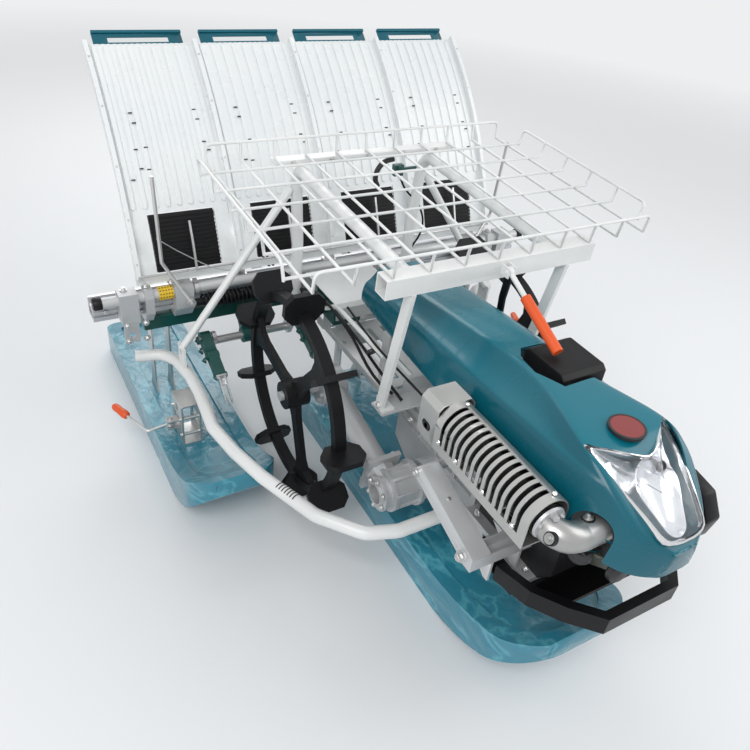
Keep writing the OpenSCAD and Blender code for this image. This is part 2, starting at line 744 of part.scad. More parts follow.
// The hood is an open arch with a solid nose, its sections listed from the front
cap_x0 = -12;
cap_x1 = cap_x0 + cap_d + 22;
cap_y0 = -672;
cap_y1 = cap_y0 + cap_d + 30;
module hood() {
    n = len(hood_rows);
    color(TEAL) difference() {
        union() {
            loft([for (j = [n - 2:-1:0]) concat(hood_ring(hood_rows[j], 0),
                [for (i = [14:-1:0]) hood_ring(hood_rows[j], hood_t)[i]])], arch = true);
            loft([for (j = [n - 1, n - 2]) hood_ring(hood_rows[j], 0)]);
        }
        drum(-200, -60, elbow_y, elbow_z, elbow_d + 22);
        slab([-200, elbow_y - elbow_d / 2 - 11, hood_low - 50], [-60, elbow_y + elbow_d / 2 + 11, elbow_z]);
        translate([0, 0, hood_low + 60]) linear_extrude(200) polygon([[cap_x0 - 34, cap_y0 + 50],
            [cap_x0 - 10, cap_y0 - 14], [cap_x1 + 6, cap_y0 - 10], [cap_x1 + 6, cap_y1 + 4],
            [cap_x0 - 2, cap_y1 + 10], [cap_x0 - 26, cap_y1 - 20]]);
    }
}

// Lamp outline in its own plane: x and the distance down the slope
lamp_len = 204;
lamp_pts = concat([[108, 6], [84, -lamp_len * 0.52]], arc([28, -lamp_len + 50], 48, -12, -78, 4),
    arc([-28, -lamp_len + 50], 48, -102, -168, 4), [[-84, -lamp_len * 0.52], [-108, 6], [0, -27]]);

module headlamp() {
    bowl_t = 3;
    color([0.92, 0.93, 0.95]) translate([0, lamp_y, hood_top]) rotate([lamp_slope, 0, 0]) difference() {
        linear_extrude(lamp_t) polygon(lamp_pts);
        translate([0, -lamp_len / 2 - 16, bowl_t]) cylinder(h = lamp_t, d = 80);
    }
}

module reflector_disc() {
    color(RED) translate([0, lamp_y + 34, hood_top]) cylinder(h = 5, d = disc_d);
}

// Fuel tank under the hood, with the square black cap that stands out of the opening
module filler_cap() {
    top = base_z + engine_h;
    color(BLACK) {
        slab([cap_x0 + 8, cap_y0 + 6, top], [cap_x1 - 8, cap_y1 - 6, hood_low + 100]);
        across(cap_x0, cap_x1) polygon([[cap_y0, hood_low + 99], [cap_y1, hood_low + 99],
            [cap_y1, hood_top - 4], [cap_y1 - 12, hood_top + 6], [cap_y0 + 12, hood_top + 6], [cap_y0, hood_top - 4]]);
    }
}

module front_bumper() {
    w = 162;
    y = bumper_front + bumper_t / 2;
    tray_z = base_z - base_t;
    half = [[w, -780, tray_z + 16], [w + 2, -880, bumper_z - 28], [w - 20, -950, bumper_z], [w * 0.56, y, bumper_z]];
    color(BLACK) {
        strap(concat([for (p = half) [-p.x, p.y, p.z]], [for (i = [3:-1:0]) half[i]]), bumper_t, bumper_h);
        slab([-w - 2, tray_front, tray_z - 5], [w + 2, -680, tray_z]);
        across(-136, 136) polygon([[-930, bumper_z - 16], [tray_front + 2, tray_z], [tray_front + 2, tray_z - 5],
            [-932, bumper_z - 22]]);
    }
}

guard_path = [[-case_half, -560], [-270, -560], [-345, -535], [-425, -440], [-490, -275], [-520, -169],
    [-539, -60], [-525, 94], [-525, 178], [-538, 262], [-565, 305], [-640, 322]];

module guard_tube() {
    color(WHITE) difference() {
        pipe([for (p = guard_path) [p.x, p.y, guard_z]], guard_d, 50);
        translate([-641, 322, guard_z]) rotate([0, 90, -12.6]) translate([0, 0, -2]) cylinder(h = 26, d = guard_d - 8);
    }
}
module guard_tube_right() { guard_tube(); }
module guard_tube_left() { mirror([1, 0, 0]) guard_tube(); }

// Wheel arms

house_in = arm_x - 66;
module wheel_arm() {
    v = unit([axle_y - arm_y, wheel_r - arm_z]);
    start = [arm_y, arm_z] + v * (arm_house_d / 2 - 1);
    rib_n = 8;
    out = house_in + arm_house_w;
    mid = house_in + arm_house_w * 0.7;
    color(ALU) difference() {
        union() {
            drum(-house_in - 10, -house_in, arm_y, arm_z, arm_house_d);
            drum(-mid, -house_in - 9, arm_y, arm_z, arm_house_d - 22);
            drum(-mid - 8, -mid + 1, arm_y, arm_z, arm_house_d - 10);
            drum(-out, -mid - 7, arm_y, arm_z, arm_house_d - 38);
            drum(-out, -out + 8, arm_y, arm_z, arm_house_d - 26);
            drum(-out - 6, -out + 1, arm_y, arm_z, pivot_d + 14);
            translate([0, arm_y, arm_z]) for (i = [0:rib_n - 1]) rotate([(i + 0.5) * 360 / rib_n, 0, 0])
                slab([-mid, -3, pivot_d / 2 + 8], [-house_in - 9, 3, arm_house_d / 2 - 5]);
            bar([-arm_x, arm_y, arm_z], [-arm_x, start.x, start.y], arm_tube_d + 10, $fn = 8);
            flat_bar(start - v * 4, start + v * 8, -arm_x - 44, -arm_x + 48, arm_tube_d + 42);
            bar([-arm_x, start.x, start.y], [-arm_x, axle_y, wheel_r], arm_tube_d);
            drum(-arm_x - 38, -arm_x + 34, axle_y, wheel_r, final_d);
            drum(-arm_x - 32, -arm_x + 28, axle_y, wheel_r, final_d + 10);
            drum(-wheel_x - 42, -arm_x, axle_y, wheel_r, axle_d);
        }
        drum(-out - 20, -house_in + 20, arm_y, arm_z, pivot_d + 2 * run_fit);
    }
}
module wheel_arm_right() { wheel_arm(); }
module wheel_arm_left() { mirror([1, 0, 0]) wheel_arm(); }

// Wheel with its rim, flared spokes and flat paddle lugs, drawn about the axle
lug_root = 18;
module wheel_shape() {
    in = rim_r - rim_t / 2;
    w = spoke_w / 2;
    color(BLACK) difference() {
        union() {
            rotate([0, 90, 0]) rotate_extrude() translate([rim_r - rim_t / 2, -rim_w / 2])
                square([rim_t, rim_w]);
            drum(-hub_w / 2, hub_w / 2, 0, 0, hub_d);
            for (i = [0:spoke_count - 1]) rotate([i * 360 / spoke_count + 40, 0, 0])
                across(-spoke_t / 2, spoke_t / 2) polygon([[w + 8, hub_d / 2 - 8], [w, hub_d / 2 + 30],
                    [w, in - 62], [w + 10, in - 30], [w + 44, in - 2], [0, in + 6], [-w - 44, in - 2],
                    [-w - 10, in - 30], [-w, in - 62], [-w, hub_d / 2 + 30], [-w - 8, hub_d / 2 - 8]]);
            for (i = [0:lug_count - 1]) rotate([i * 360 / lug_count + 7, 0, 0])
                translate([0, lug_t / 2, 0]) rotate([90, 0, 0]) linear_extrude(lug_t)
                    polygon([[-lug_w * 0.28, rim_r - lug_root], [lug_w * 0.28, rim_r - lug_root],
                        [lug_w / 2, rim_r + 8], [lug_w / 2, wheel_r - 24], [lug_w * 0.3, wheel_r - 2],
                        [-lug_w * 0.3, wheel_r - 2], [-lug_w / 2, wheel_r - 24], [-lug_w / 2, rim_r + 8]]);
        }
        drum(-hub_w, hub_w, 0, 0, axle_d + 2 * run_fit);
    }
}
module wheel_right() { translate([-wheel_x, axle_y, wheel_r]) wheel_shape(); }
module wheel_left() { mirror([1, 0, 0]) wheel_right(); }

// Planting gear

beam_half = 600;
module planting_beam() {
    color(GREEN) slab([-beam_half, beam_front, beam_z - beam_s / 2], [beam_half, beam_front + beam_s, beam_top]);
}

web_r = 22;
pin_r = 8;
module planting_case() {
    w = 22;
    color(GREEN) difference() {
        union() {
            across(-case_x - w, -case_x + w) polygon([[crank_y, crank_z - 18], [crank_y + 22, crank_z - 18],
                [beam_front, beam_z - 20], [beam_front, beam_z + 20], [crank_y + 20, crank_z + 24],
                [crank_y, crank_z + 18]]);
            drum(-case_x - w - 6, -case_x + w + 6, crank_y, crank_z, 48);
            across(-case_x - 4, -case_x + 4) polygon([[crank_y + 8, crank_z + 18], [beam_front, beam_z + 18],
                [beam_front, beam_z + 30], [crank_y + 14, crank_z + 32]]);
        }
        drum(-case_x - 60, -case_x + 60, crank_y, crank_z, crank_shaft_d + 2 * run_fit);
    }
}
module planting_case_right() { planting_case(); }
module planting_case_left() { mirror([1, 0, 0]) planting_case(); }

crank_dir = 128;
crank_pin = [crank_y + crank_r * cos(crank_dir), crank_z + crank_r * sin(crank_dir)];
web_t = 12;
web_gap = 5;

// Shaft with a crank web and a pin at each end, one for each of the two rows
module crank() {
    reach = row_x - plant_arm_w / 2 - web_gap;
    n = [sin(crank_dir), -cos(crank_dir)];
    color([0.6, 0.6, 0.62]) {
        drum(-case_x - reach, -case_x + reach, crank_y, crank_z, crank_shaft_d);
        for (s = [-1, 1]) {
            x = -case_x + s * (reach - web_t / 2);
            across(x - web_t / 2, x + web_t / 2) {
                translate([crank_y, crank_z]) circle(web_r);
                translate(crank_pin) circle(2 * pin_r);
                polygon([[crank_y, crank_z] - web_r * n, [crank_y, crank_z] + web_r * n,
                    crank_pin + 2 * pin_r * n, crank_pin - 2 * pin_r * n]);
            }
            drum(min(x, x + s * (web_gap + plant_arm_w + 10)), max(x, x + s * (web_gap + plant_arm_w + 10)),
                crank_pin.x, crank_pin.y, 2 * pin_r);
        }
    }
}
module crank_right() { crank(); }
module crank_left() { mirror([1, 0, 0]) crank(); }

// Planting arm about its crank pin: [y, z, radius] of its bosses
arm_bosses = [[0, 0, 20], [-62, -20, 17], [-128, -46, 13]];

module arm_outline() {
    translate(crank_pin) {
        for (b = arm_bosses) translate([b[0], b[1]]) circle(b[2]);
        for (i = [0:1]) let (a = arm_bosses[i], b = arm_bosses[i + 1], v = unit([b[0] - a[0], b[1] - a[1]]),
                n = [-v.y, v.x])
            polygon([[a[0], a[1]] + n * a[2] * 0.9, [b[0], b[1]] + n * b[2] * 0.9,
                [b[0], b[1]] - n * b[2] * 0.9, [a[0], a[1]] - n * a[2] * 0.9]);
    }
}

module planting_arm(x) {
    w = plant_arm_w / 2;
    color(GREEN) difference() {
        union() {
            across(x - w, x + w) arm_outline();
            for (i = [1:2]) drum(x - w - 4, x + w + 4, crank_pin.x + arm_bosses[i][0],
                crank_pin.y + arm_bosses[i][1], arm_bosses[i][2] * 1.3);
        }
        drum(x - 40, x + 40, crank_pin.x, crank_pin.y, 2 * pin_r + 2 * run_fit);
    }
    color(ALU) for (k = [-1, 1]) translate([0, crank_pin.x, crank_pin.y])
        across(x + k * 9 - 2, x + k * 9 + 2) polygon([[-120, -36], [-150, -44], [-196, -84],
            [-202, -96], [-192, -92], [-146, -60], [-120, -56]]);
    color(ALU) translate([0, crank_pin.x, crank_pin.y])
        across(x - 7, x + 7) polygon([[-126, -46], [-156, -58], [-158, -64], [-124, -58]]);
}

module planting_arms() {
    for (s = [-1, 1]) planting_arm(-case_x + s * row_x);
}
module planting_arms_right() { planting_arms(); }
module planting_arms_left() { mirror([1, 0, 0]) planting_arms(); }

// Rail that the stage slides on

shoe_y = rail_y + 16;
shoe_w = 34;
shoe_deep = 12;
module guide_rail() {
    color(ALU) across(-rail_len / 2, rail_len / 2) difference() {
        translate([rail_y, rail_z]) square([rail_depth, rail_h]);
        translate([rail_y - 1, rail_z + 13]) square([9, 8]);
        translate([rail_y - 1, rail_z + 30]) square([4, 5]);
        translate([shoe_y, rail_top - shoe_deep]) square([shoe_w, shoe_deep + 1]);
        translate([rail_y + 12, rail_z + 8]) square([rail_depth - 18, rail_h - shoe_deep - 16]);
    }
}

module rail_tube() {
    half = rail_len / 2;
    color(ALU) {
        drum(-half + 14, half - 14, tube_y, tube_z, tube_d);
        for (s = [-1, 1]) side(s) drum(-half + 4, -half + 15, tube_y, tube_z, tube_d + 4);
    }
}

// Castings that join beam, rail and tube; the inner ones carry the line markers
marker_x = 476;
marker_y = 294;
marker_z = 430;
module rail_bracket(x0, x1) {
    across(x0, x1) polygon([[beam_front, beam_top], [beam_front + 36, beam_top], [beam_front + 36, rail_z],
        [rail_y, rail_z], [rail_y, tube_z - 4], [rail_y - 2, tube_z + tube_d / 2 + 8],
        [tube_y - 16, tube_z + tube_d / 2 + 8], [tube_y - 22, tube_z], [tube_y - 22, rail_z + 22],
        [beam_front - 20, beam_top + 2]]);
}

module rail_brackets() {
    half = rail_len / 2;
    color(ALU) for (s = [-1, 1]) side(s) difference() {
        union() {
            rail_bracket(-marker_x - 40, -marker_x + 12);
            rail_bracket(-beam_half, -beam_half + 24);
            across(-half + 66, -half + 116) polygon([[rail_y, rail_top - 8], [rail_y, tube_z + tube_d / 2 + 9],
                [tube_y - 24, tube_z + tube_d / 2 + 9], [tube_y - 24, rail_z + 6], [rail_y, rail_z + 2]]);
            slab([-half + 70, tube_y - 20, rail_z - 60], [-half + 112, tube_y - 15, rail_z + 10]);
            bar([-marker_x, tube_y - 20, marker_z], [-marker_x, marker_y - 18, marker_z], pin_d);
            bar([-marker_x, tube_y - 20, marker_z], [-marker_x, marker_y + 7, marker_z], pin_d + 12);
        }
        drum(-half, -marker_x + 60, tube_y, tube_z, tube_d + 2 * run_fit);
        bar([-half + 91, tube_y, rail_z - 36], [-half + 91, tube_y - 40, rail_z - 36], 16);
    }
}

// Ribbed cover of the feed shaft in front of the rail
module feed_shaft() {
    rings = 17;
    pitch = 15;
    start = -marker_x + 12;
    y = tube_y - 24;
    color(BLACK) {
        for (i = [0:rings - 1]) drum(start + 30 + i * pitch, start + 30 + (i + 0.5) * pitch, y, rail_z + 36, 34);
        drum(start, start + 60 + rings * pitch, y, rail_z + 36, 22);
    }
}

// Gearbox of the feed drive, between the frame rails
module feed_gearbox() {
    z = frame_top;
    color(GREEN) {
        slab([-128, 84, z], [-40, foot_y - 26, z + 66]);
        drum(-152, -127, 140, z + 40, 52);
    }
}

// Folded cover over the frame's middle, on two posts
module center_cover() {
    x0 = -150;
    x1 = 60;
    y0 = 30;
    y1 = foot_y + 11;
    top = 498;
    low = top - 46;
    t = 3;
    color(ALU) {
        difference() {
            across(x0, x1) polygon([[y0, low], [y0, top - 8], [y0 + 13, top], [y1, top], [y1, low]]);
            across(x0 - 1, x1 + 1) polygon([[y0 + t, low - 1], [y0 + t, top - 9], [y0 + 14, top - t],
                [y1 - t, top - t], [y1 - t, low - 1]]);
        }
        for (x = [x0 + 20, x1 - 40])
            slab([x, foot_y - 22, frame_top + frame_t], [x + 20, y1 - t + 1, top - t + 1]);
    }
}

// Carrier rack, drawn in a frame that leans with its bed

rack_side = (rack_long_n - 1) / 2 * rack_long_pitch + 36;
rack_front_y = rack_rear_y - (rack_cross_n - 1) * rack_cross_pitch - 52;
rack_back_y = rack_rear_y + 66;
rack_under = -wire_d / 2;
rack_tube_zl = rack_under - rack_rear_t - rack_tube_d / 2 * flat_top;
bracket_y = -379;
bracket_w = 42;

module rack_place() {
    translate([0, rack_rear_y, rack_z]) rotate([rack_tilt, 0, 0]) translate([0, -rack_rear_y, 0]) children();
}
function rack_at(x, y, z) = [x, rack_rear_y + (y - rack_rear_y) * cos(rack_tilt) - z * sin(rack_tilt),
    rack_z + (y - rack_rear_y) * sin(rack_tilt) + z * cos(rack_tilt)];

module rack_frame() {
    top = rack_at(-rack_tube_x, foot_y, rack_tube_zl);
    foot = frame_top + frame_t;
    tab_z = guard_z + guard_d / 2 * flat_top;
    brace_low = [-531, 218, tab_z + 52];
    color(WHITE) for (s = [-1, 1]) side(s) {
        pipe([rack_at(-rack_tube_x, bracket_y + bracket_w / 2, rack_tube_zl), top,
            [-rack_tube_x + 14, foot_y, 610], [-rack_tube_x + 14, foot_y, foot]], rack_tube_d, 50);
        bar([-rack_tube_x - 12, foot_y, 770], brace_low, 22);
        slab([brace_low.x - 4, brace_low.y - 26, tab_z], [brace_low.x + 3, brace_low.y + 26, tab_z + 62]);
        difference() {
            flat_bar([bracket_y - 14, rack_z - 20], [leg_y, case_top + frame_t + 12],
                -rack_tube_x - 16, -rack_tube_x - 6, 28);
            rack_place() slab([-400, bracket_y - 100, rack_under - rack_front_h], [0, bracket_y + 100, 60]);
        }
        slab([-rack_tube_x - 16, leg_y - 20, case_top + frame_t],
            [-rack_tube_x + 18, leg_y + 20, case_top + frame_t + 5]);
        flat_bar([leg_y, case_top + frame_t + 30], [leg_y, case_top + frame_t], -rack_tube_x - 16,
            -rack_tube_x - 6, 28);
    }
}

module rack_front_bracket() {
    half = 282;
    t = 3;
    x = 20;
    color(WHITE) rack_place() {
        difference() {
            slab([-half, bracket_y - bracket_w / 2, rack_under - rack_front_h],
                [half, bracket_y + bracket_w / 2, rack_under]);
            slab([-half - 1, bracket_y - bracket_w / 2 + t, rack_under - rack_front_h + t],
                [half + 1, bracket_y + bracket_w / 2 - t, rack_under - t]);
        }
        for (k = [-1, 1]) slab([x + k * 9 - 2, bracket_y - bracket_w / 2 - 26, rack_under - 32],
            [x + k * 9 + 2, bracket_y - bracket_w / 2 + 1, rack_under - 8]);
        drum(x - 14, x + 14, bracket_y - bracket_w / 2 - 16, rack_under - 20, pin_d);
    }
}

module rack_rear_bracket() {
    color(WHITE) rack_place() slab([-272, foot_y - 26, rack_under - rack_rear_t], [280, foot_y + 6, rack_under]);
}

module carrier_rack() {
    half = (rack_long_n - 1) / 2 * rack_long_pitch;
    y0 = rack_front_y;
    y1 = rack_back_y;
    lean = 6;
    w = wire_d;
    h = rack_rim_h;
    side_y = [rack_rear_y, rack_rear_y - (rack_cross_n - 1) * rack_cross_pitch];
    color(WHITE) rack_place() {
        for (i = [0:rack_long_n - 1]) let (x = -half + i * rack_long_pitch) {
            bar([x, y0 - 2, 0], [x, y1 + 2, 0], w, $fn = 8);
            if (i > 0 && i < rack_long_n - 1) {
                bar([x, y0, -1], [x, y0 - lean, h], w, $fn = 8);
                bar([x, y1, -1], [x, y1 + lean, h], w, $fn = 8);
            }
        }
        for (j = [0:rack_cross_n - 1]) let (y = rack_rear_y - j * rack_cross_pitch, z = w * 0.7) {
            bar([-rack_side - 2, y, z], [rack_side + 2, y, z], w, $fn = 8);
            if (j > 0 && j < rack_cross_n - 1) for (s = [-1, 1])
                bar([s * rack_side, y, z - 1], [s * (rack_side + lean), y, h], w, $fn = 8);
        }
        for (p = [[y0, y0 - lean], [y1, y1 + lean]])
            pipe([[-half, p[0], 0], [-half, p[1], h], [half, p[1], h], [half, p[0], 0]], w, 14, 8);
        for (s = [-1, 1]) let (x = s * rack_side, rim = s * (rack_side + lean))
            pipe([[x, side_y[0], 0], [rim, side_y[0], h], [rim, side_y[1], h], [x, side_y[1], 0]], w, 14, 8);
    }
}

// Handlebars behind the stage

bars_x = 235;
bars_y = 930;
bars_z = 620;
post_x = 190;
post_y = 700;
pad_z = 455;
module handlebars() {
    straight = grip_end - grip_len;
    color(WHITE) {
        for (s = [-1, 1]) side(s) {
            pipe([[-170, beam_front + beam_s, beam_z], [-170, 600, beam_z], [-bars_x, bars_y, bars_z],
                [-grip_x, straight - 75, grip_z], [-grip_x, straight, grip_z]], handle_d, 60);
            slab([-post_x - 14, post_y - 14, pad_z - 30], [-post_x + 14, post_y + 14, pad_z]);
        }
        drum(-bars_x, bars_x, bars_y, bars_z, handle_d);
    }
}

module handle_grips() {
    straight = grip_end - grip_len;
    color(BLACK) for (x = [-grip_x, grip_x]) {
        bar([x, straight, grip_z], [x, grip_end, grip_z], grip_d);
        bar([x, straight, grip_z], [x, straight + 6, grip_z], grip_d + 14);
    }
}

// Console on the cross tube, with the clutch, lift and depth levers
console_low = bars_z + handle_d / 2;
console_a = [bars_y - 40, console_low + 70];
console_b = [bars_y + 55, console_low + 104];
module control_console() {
    color(TEAL) difference() {
        across(-115, 115) polygon([[bars_y - 50, console_low], [bars_y + 60, console_low],
            [bars_y + 72, console_low + 30], console_b, console_a, [bars_y - 56, console_low + 34]]);
        for (x = [-80, 80]) slab([x - 22, bars_y - 30, console_low - 1], [x + 22, bars_y + 40, console_low + 50]);
    }
}

module control_levers() {
    p = console_a + (console_b - console_a) * 0.3;
    q = console_a + (console_b - console_a) * 0.55;
    color(BLACK) for (x = [-60, 0, 60]) {
        across(x - 4, x + 4) polygon([p, q, [q.x + 16, q.y + 110], [q.x + 2, q.y + 110]]);
        translate([x, q.x + 9, q.y + 118]) sphere(d = 30);
    }
}

// Seedling stage: an arc in (y, z) about a centre behind and below, drawn as straight steps

stage_n = 12;
stage_step = stage_arc / stage_n;
stage_c = [stage_y + stage_r * sin(stage_slope), stage_z - stage_r * cos(stage_slope)];
function stage_corner(i, h) = let (q = 90 + stage_slope - i * stage_step)
    stage_c + (stage_r + h) * [cos(q), sin(q)];
// Point at angle a along the stage, h over the sheet's underside
function stage_pt(a, h) = let (i = min(max(floor(a / stage_step), 0), stage_n - 1), t = a / stage_step - i)
    stage_corner(i, h) * (1 - t) + stage_corner(i + 1, h) * t;
function stage_cuts(a0, a1) = concat([a0],
    [for (i = [1:stage_n - 1]) if (i * stage_step > a0 + 0.05 && i * stage_step < a1 - 0.05) i * stage_step], [a1]);
function band(a0, a1, h0, h1) = let (c = stage_cuts(a0, a1), n = len(c)) concat(
    [for (a = c) stage_pt(a, h1)], [for (i = [n - 1:-1:0]) stage_pt(c[i], h0)]);

belt_a0 = 1.2;
belt_a1 = 9.6;
shaft_h = -9;
shaft_d = 12;
lane_w = row_pitch - divider_w;

module stage_panel() {
    color(WHITE) {
        difference() {
            across(-stage_half, stage_half) polygon(band(0, stage_arc, 0, stage_t));
            for (k = [0:lane_count - 1])
                across(lane(k) - belt_w / 2, lane(k) + belt_w / 2) polygon(band(belt_a0, belt_a1, -20, 30));
        }
        for (k = [0:lane_count]) let (x = (k - lane_count / 2) * row_pitch)
            across(x - divider_w / 2, x + divider_w / 2) polygon(band(1, stage_arc, stage_t - 1, stage_t + divider_h));
        for (k = [0:lane_count - 1], i = [0:rib_count - 1])
            let (x = lane(k) + (i - (rib_count - 1) / 2) * lane_w / rib_count)
            across(x - rib_w / 2, x + rib_w / 2)
                polygon(band(belt_a1 + 0.8, stage_arc - 0.8, stage_t - 1, stage_t + rib_h));
    }
}

// Toothed feed belts on their two shafts
module feed_belts() {
    a0 = belt_a0 + 0.2;
    a1 = belt_a1 - 0.2;
    step = (a1 - a0) / belt_teeth;
    teeth = [for (i = [0:belt_teeth - 1], k = [[0, 0], [0, 4], [0.5, 4], [0.5, 0]])
        stage_pt(a0 + (i + k.x) * step, stage_t - 2 + k.y)];
    color(BLACK) for (k = [0:lane_count - 1]) across(lane(k) - belt_w / 2 + 3, lane(k) + belt_w / 2 - 3)
        difference() {
            polygon(concat(teeth, [stage_pt(a1, stage_t - 2), stage_pt(a1, -20), stage_pt(a0, -20)]));
            for (a = [a0 + 0.7, a1 - 0.7]) translate(stage_pt(a, shaft_h)) circle(d = shaft_d + 1);
        }
}

module extension_plates() {
    w = row_pitch / 2 - 26;
    up = 2.2;
    color(TEAL) for (k = [0:lane_count - 1]) difference() {
        union() {
            across(lane(k) - w, lane(k) + w) polygon(band(stage_arc - 4, stage_arc + up, -4, -0.01));
            across(lane(k) - w, lane(k) + w)
                polygon(band(stage_arc + up - 0.45, stage_arc + up, -4, 7));
        }
        across(lane(k) - w + 40, lane(k) + w - 40) polygon(band(stage_arc + 0.5, stage_arc + up - 0.9, -10, 4));
    }
}

// Rods that hold the seedling mats down, on a cross rod over the dividers
module press_rods() {
    low = stage_t + divider_h;
    cross = stage_pt(1.3, low + press_d / 2);
    color(ALU) {
        drum(-stage_half + 4, stage_half - 4, cross.x, cross.y, press_d);
        for (k = [0:lane_count - 1]) let (x = lane(k) + 12)
            across(x - press_d / 2, x + press_d / 2) polygon(band(1.1, 8, low, low + press_d));
    }
}

// Ribs behind the stage, with the shafts of the feed belts and the shoes that slide in the rail
module stage_frame() {
    shoe_z = rail_top - shoe_deep + slide_gap;
    g = slide_gap;
    a0 = belt_a0 + 0.9;
    a1 = belt_a1 - 0.9;
    color(ALU) {
        for (x = [-row_pitch, 0, row_pitch]) {
            across(x - 12, x + 12) {
                polygon(band(-1.2, 10 * stage_step, -24, 0));
                polygon(band(guide_a - 1.3, guide_a + 1.3, -32, -23));
            }
            across(x - 20, x + 20) polygon([[shoe_y + g, shoe_z], [shoe_y + shoe_w - g, shoe_z],
                [shoe_y + shoe_w - g, shoe_z + 22], [shoe_y + g + 4, shoe_z + 22]]);
        }
        for (a = [a0, a1]) let (p = stage_pt(a, shaft_h))
            drum(-stage_half + 20, stage_half - 20, p.x, p.y, shaft_d);
    }
}

// Upper guide tube that the ribs slide on, on two posts from the handlebars
module stage_guide() {
    p = stage_pt(guide_a, -32 - slide_gap - guide_d / 2);
    color(ALU) {
        drum(-430, 430, p.x, p.y, guide_d);
        for (s = [-1, 1]) side(s)
            pipe([[-post_x, post_y, pad_z], [-post_x, post_y, 720], [-post_x, p.x, p.y]], 20, 40);
    }
}

// Markers

pole_y = bracket_y - bracket_w / 2 - 16;
pole_at = rack_at(20, pole_y, rack_under - 20);
module center_pole() {
    tip = [20, cap_y0 + 64, hood_top + 6 + marker_grip_d / 2 + 1];
    v = unit(tip - pole_at);
    color(WHITE) difference() {
        union() {
            drum(pole_at.x - 6, pole_at.x + 6, pole_at.y, pole_at.z, pin_d + 12);
            bar(pole_at + v * (pin_d / 2 + 3), pole_at + v * 72, 12);
        }
        drum(pole_at.x - 20, pole_at.x + 20, pole_at.y, pole_at.z, pin_d + 2 * run_fit);
    }
    color(ORANGE) bar(pole_at + v * 71, tip, marker_grip_d);
}

module line_marker() {
    eye = [-marker_x, marker_y - 6, marker_z];
    knee = [-551, marker_y - 6, marker_z + 139];
    v = unit(knee - eye);
    color(ALU) {
        difference() {
            union() {
                bar(eye + [0, 6, 0], eye - [0, 6, 0], pin_d + 14);
                pipe([eye + v * (pin_d / 2 + 4), knee, [-559, knee.y, marker_top]], marker_d, 24);
            }
            bar(eye + [0, 20, 0], eye - [0, 20, 0], pin_d + 2 * run_fit);
        }
    }
}
module line_marker_right() { line_marker(); }
module line_marker_left() { mirror([1, 0, 0]) line_marker(); }

module side_marker() {
    eye = [-aligner_x, aligner_y, aligner_z];
    color(ALU) difference() {
        union() {
            bar(eye - [0, 0, 5], eye + [0, 0, 5], pin_d + 12);
            pipe([eye - [8, 1, 0], [-672, 106, aligner_z], [-708, 195, aligner_z]], 8, 10);
        }
        bar(eye - [0, 0, 30], eye + [0, 0, 30], pin_d + 2 * run_fit);
    }
    color(ORANGE) bar([-707, 193, aligner_z], [-727, 245, aligner_z], marker_grip_d - 4);
}
module side_marker_right() { side_marker(); }
module side_marker_left() { mirror([1, 0, 0]) side_marker(); }

center_float();
side_float_right();
side_float_left();
float_brackets();
main_frame();
transmission_case();
engine();
engine_base();
engine_cowl();
muffler();
muffler_guard();
exhaust_elbow();
hood();
headlamp();
reflector_disc();
filler_cap();
front_bumper();
guard_tube_right();
guard_tube_left();
side_arm_right();
side_arm_left();
planting_beam();
planting_case_right();
planting_case_left();
crank_right();
crank_left();
planting_arms_right();
planting_arms_left();
rack_frame();
rack_front_bracket();
rack_rear_bracket();
carrier_rack();
guide_rail();
rail_tube();
rail_brackets();
feed_shaft();
feed_gearbox();
center_cover();
handlebars();
handle_grips();
control_console();
control_levers();
stage_guide();
stage_panel();
feed_belts();
extension_plates();
press_rods();
stage_frame();
wheel_right();
wheel_left();
wheel_arm_right();
wheel_arm_left();
center_pole();
line_marker_right();
line_marker_left();
side_marker_right();
side_marker_left();
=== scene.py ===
# %% [markdown]
# # A walk-behind rice transplanter
# The machine's solids come from its CAD model, which stays fixed as the frame. This lesson dresses them: it
# gives each solid its finish, replaces the solids whose real forms are rounder, and adds the small hardware
# that CAD leaves out, such as bolts, clips, cables and ribs.

# %% Load the frame
import json
import math

import bmesh
import bpy
from mathutils import Matrix, Vector


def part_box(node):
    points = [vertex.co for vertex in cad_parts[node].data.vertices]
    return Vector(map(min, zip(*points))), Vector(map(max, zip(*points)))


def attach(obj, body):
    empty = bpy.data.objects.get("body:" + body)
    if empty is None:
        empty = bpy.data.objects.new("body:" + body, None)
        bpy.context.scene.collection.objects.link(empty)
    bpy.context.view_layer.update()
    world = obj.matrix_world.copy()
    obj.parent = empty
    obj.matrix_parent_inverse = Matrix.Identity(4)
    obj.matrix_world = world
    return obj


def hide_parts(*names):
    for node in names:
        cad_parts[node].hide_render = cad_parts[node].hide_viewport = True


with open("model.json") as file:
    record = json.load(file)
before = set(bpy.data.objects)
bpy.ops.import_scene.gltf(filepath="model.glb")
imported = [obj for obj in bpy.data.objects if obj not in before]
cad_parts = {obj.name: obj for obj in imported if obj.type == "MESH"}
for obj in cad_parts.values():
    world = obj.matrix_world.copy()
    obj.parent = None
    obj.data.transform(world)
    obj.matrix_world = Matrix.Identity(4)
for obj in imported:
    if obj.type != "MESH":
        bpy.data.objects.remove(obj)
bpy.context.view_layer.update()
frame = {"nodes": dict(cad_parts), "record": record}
nodes = frame["nodes"]

# %% [markdown]
# ## Camera
# The photograph was taken from the front right corner, a little above the rack. A camera could be set by
# eye, but solving its place, directions and focal length from known points of the machine, such as the ends
# of the rail and the wheels, lets every piece be compared with the photograph.

